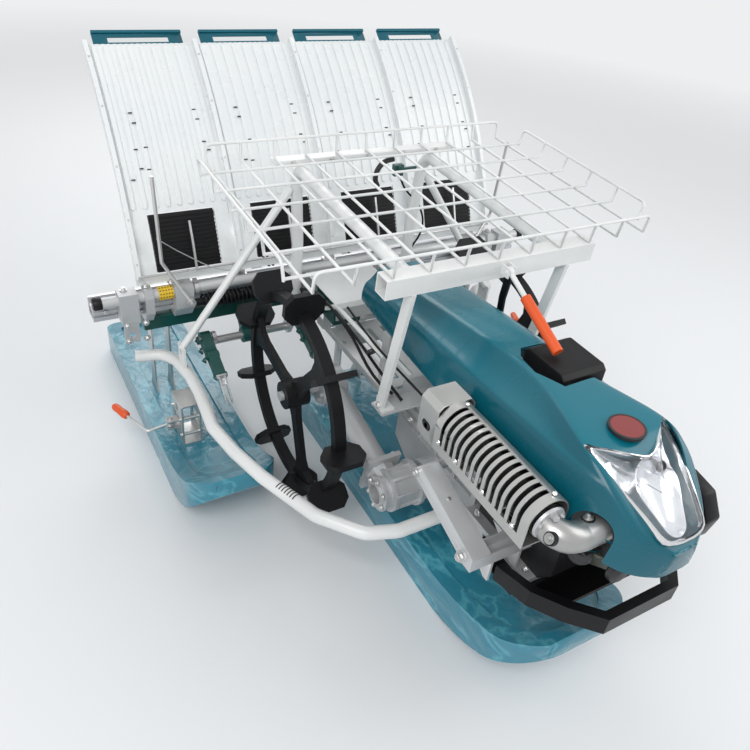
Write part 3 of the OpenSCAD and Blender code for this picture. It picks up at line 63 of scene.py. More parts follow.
# %% Camera
SENSOR_WIDTH = 36
PHOTO_PIXELS = 750
FOCAL_PIXELS = 718.5
camera_place = (-0.97774, -1.44376, 1.52607)
roughly_right = Vector((0.868, -0.486, 0.103)).normalized()
camera_forward = Vector((0.446, 0.671, -0.593)).normalized()
camera_up = roughly_right.cross(camera_forward).normalized()
camera_right = camera_forward.cross(camera_up)
lens_camera = bpy.data.cameras.new("photo_camera")
lens_camera.sensor_width = SENSOR_WIDTH
lens_camera.lens = SENSOR_WIDTH * FOCAL_PIXELS / PHOTO_PIXELS
lens_camera.clip_start, lens_camera.clip_end = 0.05, 60
camera = bpy.data.objects.new("photo_camera", lens_camera)
bpy.context.scene.collection.objects.link(camera)
camera.matrix_world = Matrix.Translation(camera_place) @ Matrix(
    (camera_right, camera_up, -camera_forward)).transposed().to_4x4()
bpy.context.scene.camera = camera
print("camera at", camera_place, "lens:", round(lens_camera.lens, 1), "mm")

# %% [markdown]
# ## Light and floor
# A pale floor and large soft lamps show the forms without hard shadows. A brighter world would wash the
# paint out, so the world is bright only for the camera and in reflections and clear lenses, where polished
# metal shows a studio, and dimmer for everything else.

# %% World and lamps
BACKGROUND, BACKGROUND_STRENGTH = (0.93, 0.94, 0.95, 1), 0.92
AMBIENT, AMBIENT_STRENGTH = (0.96, 0.98, 1, 1), 0.55
machine_middle = Vector((0, -0.1, 0.4))
scene = bpy.context.scene
scene.view_settings.view_transform = "Standard"


def make_world():
    world = bpy.data.worlds.new("studio")
    world.use_nodes = True
    tree = world.node_tree
    tree.nodes.clear()
    out, mix = tree.nodes.new("ShaderNodeOutputWorld"), tree.nodes.new("ShaderNodeMixShader")
    path = tree.nodes.new("ShaderNodeLightPath")
    shown = path.outputs["Is Camera Ray"]
    for ray in ("Is Glossy Ray", "Is Transmission Ray"):
        most = tree.nodes.new("ShaderNodeMath")
        most.operation = "MAXIMUM"
        tree.links.new(shown, most.inputs[0])
        tree.links.new(path.outputs[ray], most.inputs[1])
        shown = most.outputs[0]
    tree.links.new(shown, mix.inputs["Fac"])
    for socket, colour, strength in ((1, AMBIENT, AMBIENT_STRENGTH), (2, BACKGROUND, BACKGROUND_STRENGTH)):
        sky = tree.nodes.new("ShaderNodeBackground")
        sky.inputs["Color"].default_value, sky.inputs["Strength"].default_value = colour, strength
        tree.links.new(sky.outputs[0], mix.inputs[socket])
    tree.links.new(mix.outputs[0], out.inputs["Surface"])
    return world


def add_lamp(name, place, size, power):
    """A square soft lamp that looks at the machine's middle."""
    light = bpy.data.lights.new(name, "AREA")
    light.shape, light.size, light.energy = "SQUARE", size, power
    lamp = bpy.data.objects.new(name, light)
    scene.collection.objects.link(lamp)
    lamp.location = place
    lamp.rotation_mode = "QUATERNION"
    lamp.rotation_quaternion = (machine_middle - Vector(place)).to_track_quat("-Z", "Y")


scene.world = make_world()
add_lamp("key_lamp", (-2.6, -2.4, 3.6), 2.4, 105)
add_lamp("fill_lamp", (2.8, -1.8, 2.4), 2.6, 46)
add_lamp("back_lamp", (0.6, 3.2, 2.8), 2.4, 55)

# %% [markdown]
# ## Finishes
# Every finish is one Principled shader with procedural detail, so that it needs no picture and no
# unwrapping. Fine noise stands for the grain of a moulded or cast surface, a broad noise varies its gloss
# as handling and dust do, and corners that point outwards are a little lighter, as worn paint is. Colours
# are linear values.

# %% Shader helpers
def new_finish(name, colour, roughness, metallic=0.0, coat=0.0, specular=0.5):
    material = bpy.data.materials.new(name)
    material.use_nodes = True
    shader = material.node_tree.nodes["Principled BSDF"]
    for key, value in (("Base Color", (*colour, 1)), ("Roughness", roughness), ("Metallic", metallic),
                       ("Coat Weight", coat), ("Specular IOR Level", specular)):
        shader.inputs[key].default_value = value
    return material, material.node_tree, shader


def object_coordinates(tree):
    found = [n for n in tree.nodes if n.type == "TEX_COORD"]
    return (found or [tree.nodes.new("ShaderNodeTexCoord")])[0].outputs["Object"]


def noise(tree, scale, detail, stretch=None):
    """Noise in the object's own coordinates, squeezed along an axis if stretch is given."""
    node = tree.nodes.new("ShaderNodeTexNoise")
    node.inputs["Scale"].default_value, node.inputs["Detail"].default_value = scale, detail
    source = object_coordinates(tree)
    if stretch:
        mapping = tree.nodes.new("ShaderNodeMapping")
        mapping.inputs["Scale"].default_value = stretch
        tree.links.new(source, mapping.inputs["Vector"])
        source = mapping.outputs["Vector"]
    tree.links.new(source, node.inputs["Vector"])
    return node.outputs["Fac"]


def spread(tree, value, low, high, source_low=0.3, source_high=0.7):
    """Maps a value's range to low and high."""
    node = tree.nodes.new("ShaderNodeMapRange")
    numbers = (source_low, source_high, low, high)
    for key, number in zip(("From Min", "From Max", "To Min", "To Max"), numbers):
        node.inputs[key].default_value = number
    tree.links.new(value, node.inputs["Value"])
    return node.outputs["Result"]


def add_bump(tree, shader, height, strength, distance, socket="Normal"):
    bump = tree.nodes.new("ShaderNodeBump")
    bump.inputs["Strength"].default_value, bump.inputs["Distance"].default_value = strength, distance
    tree.links.new(height, bump.inputs["Height"])
    earlier = shader.inputs[socket].links
    if earlier:
        tree.links.new(earlier[0].from_socket, bump.inputs["Normal"])
    tree.links.new(bump.outputs["Normal"], shader.inputs[socket])


def tint(tree, shader, colour, other, mask):
    """Mixes another colour over what the base colour already is."""
    mix = tree.nodes.new("ShaderNodeMix")
    mix.data_type = "RGBA"
    mix.inputs["A"].default_value, mix.inputs["B"].default_value = (*colour, 1), (*other, 1)
    earlier = shader.inputs["Base Color"].links
    if earlier:
        tree.links.new(earlier[0].from_socket, mix.inputs["A"])
    tree.links.new(mask, mix.inputs["Factor"])
    tree.links.new(mix.outputs["Result"], shader.inputs["Base Color"])


print("shader helpers are ready")

# %% [markdown]
# One function makes the plain finishes. Wear could be painted by hand, but a Bevel node does it everywhere
# at once: near an edge its normal leaves the surface's own, and the smaller their product, the lighter the
# paint.

# %% A plain finish
GRAIN_DEPTH = 0.0006
WEAR_WIDTH = 0.0016
DARK_SHARE = 0.86


def finish_of(name, colour, roughness, grain=900, bump=0.06, vary=0.06, worn=None, **more):
    """Grain in the bump, a broad change of gloss and of colour, and worn corners."""
    material, tree, shader = new_finish(name, colour, roughness, **more)
    gloss = spread(tree, noise(tree, 14, 4), roughness - vary, roughness + vary)
    tree.links.new(gloss, shader.inputs["Roughness"])
    tint(tree, shader, colour, [v * DARK_SHARE for v in colour], spread(tree, noise(tree, 5, 5), 0, 1))
    add_bump(tree, shader, noise(tree, grain, 2), bump, GRAIN_DEPTH)
    if worn:
        bevel, geometry = tree.nodes.new("ShaderNodeBevel"), tree.nodes.new("ShaderNodeNewGeometry")
        bevel.inputs["Radius"].default_value = WEAR_WIDTH
        dot = tree.nodes.new("ShaderNodeVectorMath")
        dot.operation = "DOT_PRODUCT"
        tree.links.new(bevel.outputs["Normal"], dot.inputs[0])
        tree.links.new(geometry.outputs["Normal"], dot.inputs[1])
        tint(tree, shader, colour, worn, spread(tree, dot.outputs["Value"], 0.75, 0, 0.78, 0.96))
    return material


print("worn edges are", WEAR_WIDTH, "m wide")

# %% [markdown]
# The table holds what differs between the machine's paints, metals, plastics and rubbers. A bare casting
# has a coarse strong grain, and rolled or polished metal hardly any. One loop then makes them all.

# %% The machine's plain finishes
finish_table = [
    # name, colour, roughness, other settings
    ("teal_hood", (0.002, 0.105, 0.148), 0.26, dict(bump=0.03, coat=0.25, specular=0.3,
                                                    worn=(0.03, 0.22, 0.28))),
    ("white_paint", (0.80, 0.81, 0.80), 0.34, dict(bump=0.05)),
    ("silver_paint", (0.60, 0.61, 0.61), 0.40, dict(metallic=0.3, bump=0.08, worn=(0.78, 0.78, 0.77))),
    ("cast_alu", (0.55, 0.56, 0.57), 0.46, dict(metallic=0.45, grain=420, bump=0.32,
                                                worn=(0.72, 0.72, 0.72))),
    ("rail_alu", (0.62, 0.63, 0.65), 0.36, dict(metallic=0.75)),
    ("chrome", (0.80, 0.80, 0.80), 0.12, dict(metallic=1.0, bump=0.02, vary=0.03)),
    ("cast_bright", (0.46, 0.46, 0.45), 0.36, dict(metallic=0.85, grain=300, bump=0.1)),
    ("bent_sheet", (0.66, 0.67, 0.68), 0.38, dict(metallic=0.4, grain=500)),
    ("guard_steel", (0.58, 0.58, 0.56), 0.34, dict(metallic=0.85, grain=500)),
    ("steel_bright", (0.76, 0.76, 0.77), 0.28, dict(metallic=0.9, grain=500, bump=0.05)),
    ("zinc", (0.66, 0.66, 0.65), 0.36, dict(metallic=0.8, grain=260, bump=0.08, vary=0.1)),
    ("black_rubber", (0.006, 0.006, 0.007), 0.48, dict(grain=700, bump=0.2, specular=0.25)),
    ("black_paint", (0.004, 0.004, 0.005), 0.36, dict(bump=0.05, worn=(0.05, 0.05, 0.05), specular=0.24)),
    ("black_plastic", (0.018, 0.018, 0.020), 0.42, dict(grain=600, bump=0.16)),
    ("olive_plastic", (0.050, 0.056, 0.040), 0.45, dict(bump=0.12)),
    ("green_cast", (0.003, 0.070, 0.060), 0.34, dict(grain=380, bump=0.22, worn=(0.06, 0.20, 0.18))),
    ("orange_grip", (0.80, 0.10, 0.012), 0.38, dict(bump=0.05)),
    ("red_lens", (0.26, 0.012, 0.010), 0.22, dict(bump=0.0, coat=0.6)),
    ("white_plastic", (0.74, 0.76, 0.74), 0.4, dict()),
    ("yellow_tape", (0.80, 0.52, 0.03), 0.45, dict(bump=0.05)),
    ("dark_hole", (0.010, 0.010, 0.011), 0.7, dict(bump=0.1)),
]
finishes = {}
for name, colour, roughness, settings in finish_table:
    finishes[name] = finish_of(name, colour, roughness, **settings)
print("plain finishes:", len(finishes))

# %% [markdown]
# The hood's upward faces are painted lighter than its sides: a painted highlight for the sky that their
# glossy paint reflects. A painted mask could say where, but the upward part of the surface's direction
# drives the tint just as well, on any shape.

# %% Painted highlight on the hood's top
def paint_hood_top_highlight():
    tree = finishes["teal_hood"].node_tree
    geometry, split = tree.nodes.new("ShaderNodeNewGeometry"), tree.nodes.new("ShaderNodeSeparateXYZ")
    tree.links.new(geometry.outputs["Normal"], split.inputs["Vector"])
    painted_highlight_mask = spread(tree, split.outputs["Z"], 0, 0.75, 0.72, 0.99)
    # upward faces take a lighter teal: a painted highlight for the sky's light on the top
    tint(tree, tree.nodes["Principled BSDF"], (0, 0, 0), (0.004, 0.175, 0.235), painted_highlight_mask)


paint_hood_top_highlight()
print("the hood is lighter on top")

# %% [markdown]
# The floats are blow-moulded teal plastic that the maker wraps in clear film, and the film is creased. A
# second sheet over the float could stand for it, but the coat layer of the shader is lighter work: the
# sharp folds, where noise crosses its middle value, bend the coat most, while the plastic under it stays
# almost smooth.

# %% Film over the floats
def make_float_finish():
    colour = (0.022, 0.235, 0.335)
    material, tree, shader = new_finish("teal_float", colour, 0.34, coat=0.75, specular=0.35)
    shader.inputs["Coat Roughness"].default_value = 0.07
    ridge = noise(tree, 9, 6, (1, 0.55, 1.6))
    for operation, middle_value in (("SUBTRACT", 0.5), ("ABSOLUTE", 0)):
        step = tree.nodes.new("ShaderNodeMath")
        step.operation = operation
        step.inputs[1].default_value = middle_value
        tree.links.new(ridge, step.inputs[0])
        ridge = step.outputs[0]
    add_bump(tree, shader, ridge, 0.8, 0.035, "Coat Normal")
    add_bump(tree, shader, ridge, 0.25, 0.02)
    # the folds are painted a paler teal: a painted highlight along the film's creases
    tint(tree, shader, colour, (0.10, 0.42, 0.52), spread(tree, ridge, 1, 0, 0.0, 0.035))
    tint(tree, shader, colour, (0.02, 0.17, 0.235), spread(tree, noise(tree, 4, 4), 0, 0.8))
    return material


finishes["teal_float"] = make_float_finish()
print("made", finishes["teal_float"].name)

# %% [markdown]
# The stage is pressed white sheet with a slight blue cast and a soft gloss. The lamp has a clear lens,
# which bends light less than real glass so that the bowl behind it stays readable, and a reflector of
# rippled metal.

# %% Pressed sheet, lens and reflector
def make_stage_finish():
    colour = (0.82, 0.84, 0.84)
    material, tree, shader = new_finish("stage_white", colour, 0.3, coat=0.15)
    tree.links.new(spread(tree, noise(tree, 18, 4), 0.22, 0.4), shader.inputs["Roughness"])
    tint(tree, shader, colour, (0.76, 0.79, 0.80), spread(tree, noise(tree, 3, 4), 0, 1))
    add_bump(tree, shader, noise(tree, 30, 3), 0.10, 0.004)
    return material


def make_lens_finish():
    material, tree, shader = new_finish("lamp_lens", (0.97, 0.98, 1.0), 0.04)
    shader.inputs["Transmission Weight"].default_value = 0.96
    shader.inputs["IOR"].default_value = 1.2
    add_bump(tree, shader, noise(tree, 40, 2), 0.04, 0.002)
    return material


def make_mirror_finish():
    material, tree, shader = new_finish("lamp_mirror", (0.92, 0.93, 0.94), 0.22, metallic=0.8)
    add_bump(tree, shader, noise(tree, 60, 2), 0.12, 0.002)
    return material


finishes["stage_white"] = make_stage_finish()
finishes["lamp_lens"] = make_lens_finish()
finishes["lamp_mirror"] = make_mirror_finish()
print("finishes:", len(finishes))

# %% [markdown]
# A real studio floor curves up into its backdrop. A flat disc does the same if its far part glows in the
# background's own colour, since then no horizon shows, and near the machine it still takes the shadow.

# %% Floor
FLOOR_R = 24
FADE_START, FADE_END = 2.2, 6.5


def fade_far_floor(material, tree, shader):
    length = tree.nodes.new("ShaderNodeVectorMath")
    length.operation = "LENGTH"
    tree.links.new(object_coordinates(tree), length.inputs[0])
    far, mix = tree.nodes.new("ShaderNodeEmission"), tree.nodes.new("ShaderNodeMixShader")
    far.inputs["Color"].default_value = BACKGROUND
    far.inputs["Strength"].default_value = BACKGROUND_STRENGTH
    tree.links.new(spread(tree, length.outputs["Value"], 0, 1, FADE_START, FADE_END), mix.inputs["Fac"])
    tree.links.new(shader.outputs[0], mix.inputs[1])
    tree.links.new(far.outputs[0], mix.inputs[2])
    out = [n for n in tree.nodes if n.type == "OUTPUT_MATERIAL"][0]
    tree.links.new(mix.outputs[0], out.inputs["Surface"])


def make_floor():
    bm = bmesh.new()
    bmesh.ops.create_circle(bm, cap_ends=True, segments=96, radius=FLOOR_R)
    mesh = bpy.data.meshes.new("floor")
    bm.to_mesh(mesh)
    bm.free()
    floor = bpy.data.objects.new("floor", mesh)
    scene.collection.objects.link(floor)
    material, tree, shader = new_finish("floor_pale", (0.78, 0.79, 0.80), 0.6)
    tree.links.new(spread(tree, noise(tree, 3, 4), 0.5, 0.7), shader.inputs["Roughness"])
    fade_far_floor(material, tree, shader)
    mesh.materials.append(material)
    print("floor radius:", FLOOR_R, "m")


make_floor()

# %% [markdown]
# Each CAD node already names the finish it has on the real machine, so one loop dresses all of them.

# %% Dress the CAD nodes
slot_of = {part["node"]: part["material_slot"] for part in frame["record"]["subparts"]}
for name, node in nodes.items():
    node.data.materials.clear()
    node.data.materials.append(finishes[slot_of[name]])
print("dressed", len(nodes), "nodes")

# %% [markdown]
# ## Tools for the pieces
# A piece is built in a bmesh, in millimetres as a workshop drawing is, and scaled to metres when it becomes
# an object. `as_piece` also shades it smooth up to an angle, gives it its finish, and makes it ride on its
# body.

# %% From a bmesh to a piece
MM = 0.001
body_of_node = {n: body for body, members in frame["record"]["behaviour"]["bodies"].items() for n in members}


def ride_and_slot(piece, body):
    """The piece joins the scene and moves with its body."""
    scene.collection.objects.link(piece)
    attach(piece, body)
    return piece


def as_piece(bm, name, finish, body="chassis", angle=30, from_cad=False):
    """A bmesh drawn in millimetres, or a copy of a CAD node, becomes a piece."""
    if not from_cad:
        bmesh.ops.scale(bm, vec=(MM,) * 3, verts=bm.verts)
        bmesh.ops.recalc_face_normals(bm, faces=bm.faces)
    mesh = bpy.data.meshes.new(name)
    bm.to_mesh(mesh)
    bm.free()
    mesh.shade_smooth()
    mesh.set_sharp_from_angle(angle=math.radians(angle))
    mesh.materials.append(finishes[finish])
    return ride_and_slot(bpy.data.objects.new(name, mesh), body)


def box_mm(node):
    """A CAD node's corners in millimetres."""
    return tuple(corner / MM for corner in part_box(node))


def middle_of(node):
    low, high = box_mm(node)
    return (low + high) / 2


print("the hood's box in mm:", box_mm("hood"))

# %% [markdown]
# Most solids have the right shape but knife-sharp edges and facets. They could be modelled again, but a
# merged copy can take their place: its flat faces are joined again, its curved ones shaded smooth, and its
# edges rounded by a Bevel modifier, as a cast, moulded or pressed part has them.

# %% A rounded copy of a CAD node
MERGE_DISTANCE = 2e-6
FLAT_ANGLE = math.radians(0.6)


def restyle(node, edge, steps, angle, finish=None):
    bm = bmesh.new()
    bm.from_mesh(nodes[node].data)
    bmesh.ops.remove_doubles(bm, verts=bm.verts, dist=MERGE_DISTANCE)
    bmesh.ops.dissolve_limit(bm, angle_limit=FLAT_ANGLE, verts=bm.verts, edges=bm.edges)
    slot = slot_of[node]
    piece = as_piece(bm, node + "_dressed", finish or slot, body_of_node[node], angle, from_cad=True)
    if edge:
        bevel = piece.modifiers.new("edges", "BEVEL")
        bevel.width, bevel.segments = edge * MM, steps
        bevel.limit_method, bevel.angle_limit = "ANGLE", math.radians(angle)
        bevel.harden_normals = True
    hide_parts(node)


print("merged within", MERGE_DISTANCE, "m")

# %% [markdown]
# ## Castings, mouldings and bent sheet
# The table lists each solid that keeps its form, with the radius of its edges in millimetres and the number
# of steps in that rounding. A blown float has wide soft edges, a casting 2 to 4 mm, and cut sheet hardly
# any.

# %% Rounded copies
edge_table = [
    # node, edge radius, steps, smoothing angle
    ("center_float", 9, 3, 34), ("side_float_right", 9, 3, 34), ("side_float_left", 9, 3, 34),
    ("transmission_case", 3, 2, 34), ("wheel_arm_right", 2.4, 2, 34), ("wheel_arm_left", 2.4, 2, 34),
    ("engine", 2.4, 2, 34), ("engine_cowl", 7, 3, 50), ("engine_base", 1.2, 1, 34),
    ("muffler_guard", 0.6, 1, 34), ("muffler", 2, 2, 34), ("exhaust_elbow", 0, 0, 50),
    ("front_bumper", 3, 2, 34), ("side_arm_right", 1.2, 1, 34), ("side_arm_left", 1.2, 1, 34),
    ("guard_tube_right", 0, 0, 50), ("guard_tube_left", 0, 0, 50), ("float_brackets", 0.6, 1, 34),
    ("main_frame", 0.8, 1, 34), ("planting_beam", 4, 2, 34), ("planting_case_right", 2.5, 2, 34),
    ("planting_case_left", 2.5, 2, 34), ("planting_arms_right", 2, 2, 34), ("planting_arms_left", 2, 2, 34),
    ("crank_right", 1.2, 1, 34), ("crank_left", 1.2, 1, 34),
    ("rack_frame", 1, 2, 50), ("rack_front_bracket", 2, 2, 34), ("rack_rear_bracket", 3, 2, 34),
    ("carrier_rack", 0, 0, 60), ("guide_rail", 0.8, 1, 34), ("rail_tube", 1, 1, 34),
    ("rail_brackets", 2.4, 2, 34), ("feed_shaft", 3, 2, 34), ("center_cover", 1.5, 2, 34),
    ("handlebars", 1, 2, 50), ("control_console", 7, 3, 34), ("control_levers", 1, 1, 34),
    ("stage_guide", 0, 0, 50), ("stage_frame", 0.6, 1, 34), ("extension_plates", 1.0, 1, 34),
    ("feed_belts", 0.6, 1, 34), ("press_rods", 0, 0, 50), ("stage_panel", 0.8, 1, 20),
    ("wheel_right", 3.2, 2, 34), ("wheel_left", 3.2, 2, 34), ("filler_cap", 3, 2, 34),
    ("center_pole", 1, 2, 50), ("line_marker_right", 0.6, 1, 50), ("line_marker_left", 0.6, 1, 50),
    ("side_marker_right", 1, 2, 50), ("side_marker_left", 1, 2, 50), ("reflector_disc", 0.8, 2, 34),
]
own_finish = {"muffler_guard": "guard_steel", "exhaust_elbow": "cast_bright", "side_arm_right": "bent_sheet",
              "side_arm_left": "bent_sheet"}
for node, edge, steps, angle in edge_table:
    restyle(node, edge, steps, angle, own_finish.get(node))
print("rounded copies:", len(edge_table))

# %% [markdown]
# Round pieces and small blocks repeat all over the machine. A drum is a cone or cylinder, and a block a
# scaled cube. Anything with a stepped outline is turned on a lathe: half of its section spins once round
# its axis.

# %% Drums, blocks and the lathe
LEFT, RIGHT, FRONT, BACK, UP = (1, 0, 0), (-1, 0, 0), (0, -1, 0), (0, 1, 0), (0, 0, 1)
SIDES = ((-1, "right"), (1, "left"))


def turned_to(normal, place):
    return Matrix.Translation(place) @ Vector(normal).to_track_quat("Z", "Y").to_matrix().to_4x4()


def add_drum(bm, place, normal, r, length, far_r=None, segments=24):
    """A round piece that starts at place and runs along normal."""
    middle = turned_to(normal, place) @ Matrix.Translation((0, 0, length / 2))
    made = bmesh.ops.create_cone(bm, cap_ends=True, segments=segments, radius1=r,
                                 radius2=r if far_r is None else far_r, depth=length, matrix=middle)
    return made["verts"]


def add_block(bm, low, high):
    low, high = Vector(low), Vector(high)
    size = Matrix.Diagonal((*(high - low), 1))
    bmesh.ops.create_cube(bm, size=1, matrix=Matrix.Translation((low + high) / 2) @ size)


def lathe(bm, place, normal, profile, segments=28, capped=True):
    """Spins a profile of (distance along the normal, radius) round the normal, and closes its ends."""
    stand = turned_to(normal, place)
    row = [bm.verts.new(stand @ Vector((r, 0, along))) for along, r in profile]
    line = [bm.edges.new(pair) for pair in zip(row, row[1:])]
    bmesh.ops.spin(bm, geom=row + line, cent=place, axis=Vector(normal).normalized(), angle=2 * math.pi,
                   steps=segments, use_merge=True)
    if capped:
        bmesh.ops.edgeloop_fill(bm, edges=[e for e in bm.edges if e.is_boundary])


def break_edges(bm, edges, width, steps):
    bmesh.ops.bevel(bm, geom=edges, offset=width, segments=steps, affect="EDGES", profile=0.5, material=-1)


print("drums, blocks and turned pieces are ready")

# %% [markdown]
# A bolt could be one cylinder, but its washer, its six flats and the end of its shank are what catch the
# light. Their sizes all follow from the width of the head, as in a table of standard bolts.

# %% Bolts
def add_bolt(bm, place, normal, size):
    """size is the width of the head over its flats, in millimetres."""
    place, normal = Vector(place), Vector(normal).normalized()
    add_drum(bm, place - normal * 0.5, normal, size * 0.82, size * 0.16 + 0.5, segments=20)
    head = add_drum(bm, place + normal * size * 0.14, normal, size * 0.577, size * 0.5, segments=6)
    far = max(v.co.dot(normal) for v in head) - 0.01
    upper = {v for v in head if v.co.dot(normal) > far}
    rim = [e for e in {e for v in upper for e in v.link_edges} if upper.issuperset(e.verts)]
    break_edges(bm, rim, size * 0.07, 1)
    add_drum(bm, place + normal * size * 0.6, normal, size * 0.3, size * 0.16, segments=12)


def bolts(name, body, places, finish="zinc"):
    """places: (place, normal, size)."""
    bm = bmesh.new()
    for place, normal, size in places:
        add_bolt(bm, place, normal, size)
    as_piece(bm, name, finish, body)


print("bolts are ready")

# %% [markdown]
# A cable is a curve with a round section, because its route stays easy to change that way. A smooth curve
# runs through given points, and a straight one joins the many small steps of a coil.

# %% Cables
def cable(name, points, width, finish="black_rubber", smooth=True):
    """A round rod or cable through points, in millimetres."""
    curve = bpy.data.curves.new(name, "CURVE")
    curve.dimensions, curve.bevel_depth, curve.bevel_resolution = "3D", width / 2 * MM, 3
    curve.use_fill_caps = True
    spline = curve.splines.new("BEZIER" if smooth else "POLY")
    route = spline.bezier_points if smooth else spline.points
    route.add(len(points) - 1)
    for knot, point in zip(route, points):
        place = Vector(point) * MM
        knot.co = place if smooth else (*place, 1)
        if smooth:
            knot.handle_left_type = knot.handle_right_type = "AUTO"
    curve.resolution_u = 6
    curve.materials.append(finishes[finish])
    return ride_and_slot(bpy.data.objects.new(name, curve), "chassis")


print("cables are ready")

# %% [markdown]
# ## The hood
# The hood is one moulded shell over the engine: a flat deck runs down its middle and widens towards the
# lamp, a hollow falls from each edge of the deck to a rounded shoulder, and the sides drop from there. Its
# nose is a slope that carries the headlamp. A shell like this could be sculpted, but its form changes
# slowly, so a few half sections describe it better.

# %% Hood sections
HOOD_LOW, HOOD_TOP, LAMP_Y, LAMP_SLOPE = 550, 705, -866, math.radians(37)
deck_sections = [
    # y, half width below, shoulder's half width and height, deck's half width and height
    (-30, 112, 104, 600, 64, 638), (-60, 115, 106, 604, 64, 643), (-200, 128, 115, 624, 62, 663),
    (-400, 138, 122, 640, 56, 686), (-545, 144, 125, 648, 50, 699), (-660, 149, 128, 656, 52, 704),
    (-746, 151, 130, 664, 78, 705), (-805, 151, 130, 669, 97, 704), (-835, 150, 128, 671, 104, 701),
    (LAMP_Y, 148, 126, 672, 108, 696)]
slope_sections = [
    # y, half width below, at the shoulder, how far the lower edge has risen
    (-905, 140, 113, 14), (-945, 127, 103, 20), (-985, 104, 90, 26), (-1011, 77, 69, 28),
    (-1027.8, 44, 38, 28)]


def on_slope(y):
    return HOOD_TOP + (y - LAMP_Y) * math.tan(LAMP_SLOPE)


def deck_half(y, low_x, shoulder_x, shoulder_z, deck_x, deck_z):
    low = HOOD_LOW - max(0, -790 - y) * 0.1
    rise = deck_z - shoulder_z
    hollow = (shoulder_x * 0.52 + deck_x * 0.48, shoulder_z + rise * 0.36)
    return [(low_x, low), (low_x + 1, low + 12), ((low_x + shoulder_x) / 2 + 4, (low + shoulder_z) / 2),
            (shoulder_x + 5, shoulder_z - 12), (shoulder_x, shoulder_z), (shoulder_x - 9, shoulder_z + 5),
            hollow, (deck_x + 6, deck_z - 6), (deck_x, deck_z - 0.6), (deck_x * 0.5, deck_z), (0, deck_z)]


def slope_half(y, low_x, shoulder_x, rise):
    low, top = HOOD_LOW - rise, on_slope(y)
    return [(low_x, low), (low_x + 1, low + 10), ((low_x + shoulder_x) / 2 + 3, (low + top) / 2),
            (shoulder_x + 3, top - 22), (shoulder_x + 1, top - 12), (shoulder_x - 2, top - 6),
            (shoulder_x - 6, top - 2), (shoulder_x - 12, top), (shoulder_x * 0.7, top),
            (shoulder_x * 0.4, top), (0, top)]


print("hood sections:", len(deck_sections) + len(slope_sections))

# %% [markdown]
# Each half section is mirrored to a full row, and bridging joins neighbouring rows. Subdivision rounds the
# loft, creases keep its lower rim and its nose firm, and a Solidify modifier gives the wall.

# %% Loft the hood
HOOD_WALL = 4


def make_hood():
    bm = bmesh.new()
    rows = []
    halves = [(s[0], deck_half(*s)) for s in deck_sections]
    halves += [(s[0], slope_half(*s)) for s in slope_sections]
    for y, half in halves:
        full = [(-x, z) for x, z in half] + [(x, z) for x, z in reversed(half[:-1])]
        verts = [bm.verts.new((x, y, z)) for x, z in full]
        rows.append([bm.edges.new(pair) for pair in zip(verts, verts[1:])])
    for one, two in zip(rows, rows[1:]):
        bmesh.ops.bridge_loops(bm, edges=one + two)
    nose = [e.verts[0] for e in rows[-1]] + [rows[-1][-1].verts[1]]
    bmesh.ops.contextual_create(bm, geom=nose)
    crease = bm.edges.layers.float.new("crease_edge")
    for e in bm.edges:
        if e.is_boundary or all(v in nose for v in e.verts):
            e[crease] = 0.7
    shell = as_piece(bm, "hood_shell", "teal_hood", angle=60)
    smooth = shell.modifiers.new("smooth", "SUBSURF")
    smooth.levels = smooth.render_levels = 2
    wall = shell.modifiers.new("wall", "SOLIDIFY")
    wall.thickness, wall.offset = HOOD_WALL * MM, -1
    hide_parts("hood")
    return shell


hood = make_hood()
print("made", hood.name)

# %% [markdown]
# ## Openings
# Three openings go through the shell: one for the headlamp, one for the filler cap on top, and one for the
# exhaust elbow in its right side. Faces could be deleted by hand, but a prism or drum that a Boolean
# modifier takes away leaves a clean edge. The cutters are applied and removed, so that no hidden object
# stays behind.

# %% A prism and a cut
def prism(bm, outline, low, high, place=Matrix()):
    """A solid from an outline of (x, y), between two heights, then put in place."""
    face = bm.faces.new([bm.verts.new((x, y, low)) for x, y in outline])
    made = bmesh.ops.extrude_face_region(bm, geom=[face])["geom"]
    top = [v for v in made if isinstance(v, bmesh.types.BMVert)]
    bmesh.ops.translate(bm, verts=top, vec=(0, 0, high - low))
    bmesh.ops.transform(bm, matrix=place, verts=list(face.verts) + top)


def cut(target, build):
    bm = bmesh.new()
    build(bm)
    bmesh.ops.scale(bm, vec=(MM,) * 3, verts=bm.verts)
    bmesh.ops.recalc_face_normals(bm, faces=bm.faces)
    mesh = bpy.data.meshes.new("cutter")
    bm.to_mesh(mesh)
    bm.free()
    cutter = bpy.data.objects.new("cutter", mesh)
    scene.collection.objects.link(cutter)
    boolean = target.modifiers.new("cut", "BOOLEAN")
    boolean.object, boolean.solver = cutter, "EXACT"
    depsgraph = bpy.context.evaluated_depsgraph_get()
    cut_mesh = bpy.data.meshes.new_from_object(target.evaluated_get(depsgraph), depsgraph=depsgraph)
    target.modifiers.clear()
    target.data = cut_mesh
    bpy.data.objects.remove(cutter)
    cut_mesh.shade_smooth()
    cut_mesh.set_sharp_from_angle(angle=math.radians(42))
    print("faces after the cut:", len(cut_mesh.polygons))


print("cutting tools are ready")

# %% [markdown]
# The lamp's outline lies in the plane of the slope. Its upper corners wrap round the shoulders, and the
# hood's tongue makes the notch between them. The well, the reflector, the edge and the lens could each have
# an outline of their own, but shrinking and lifting the same one keeps them nested.

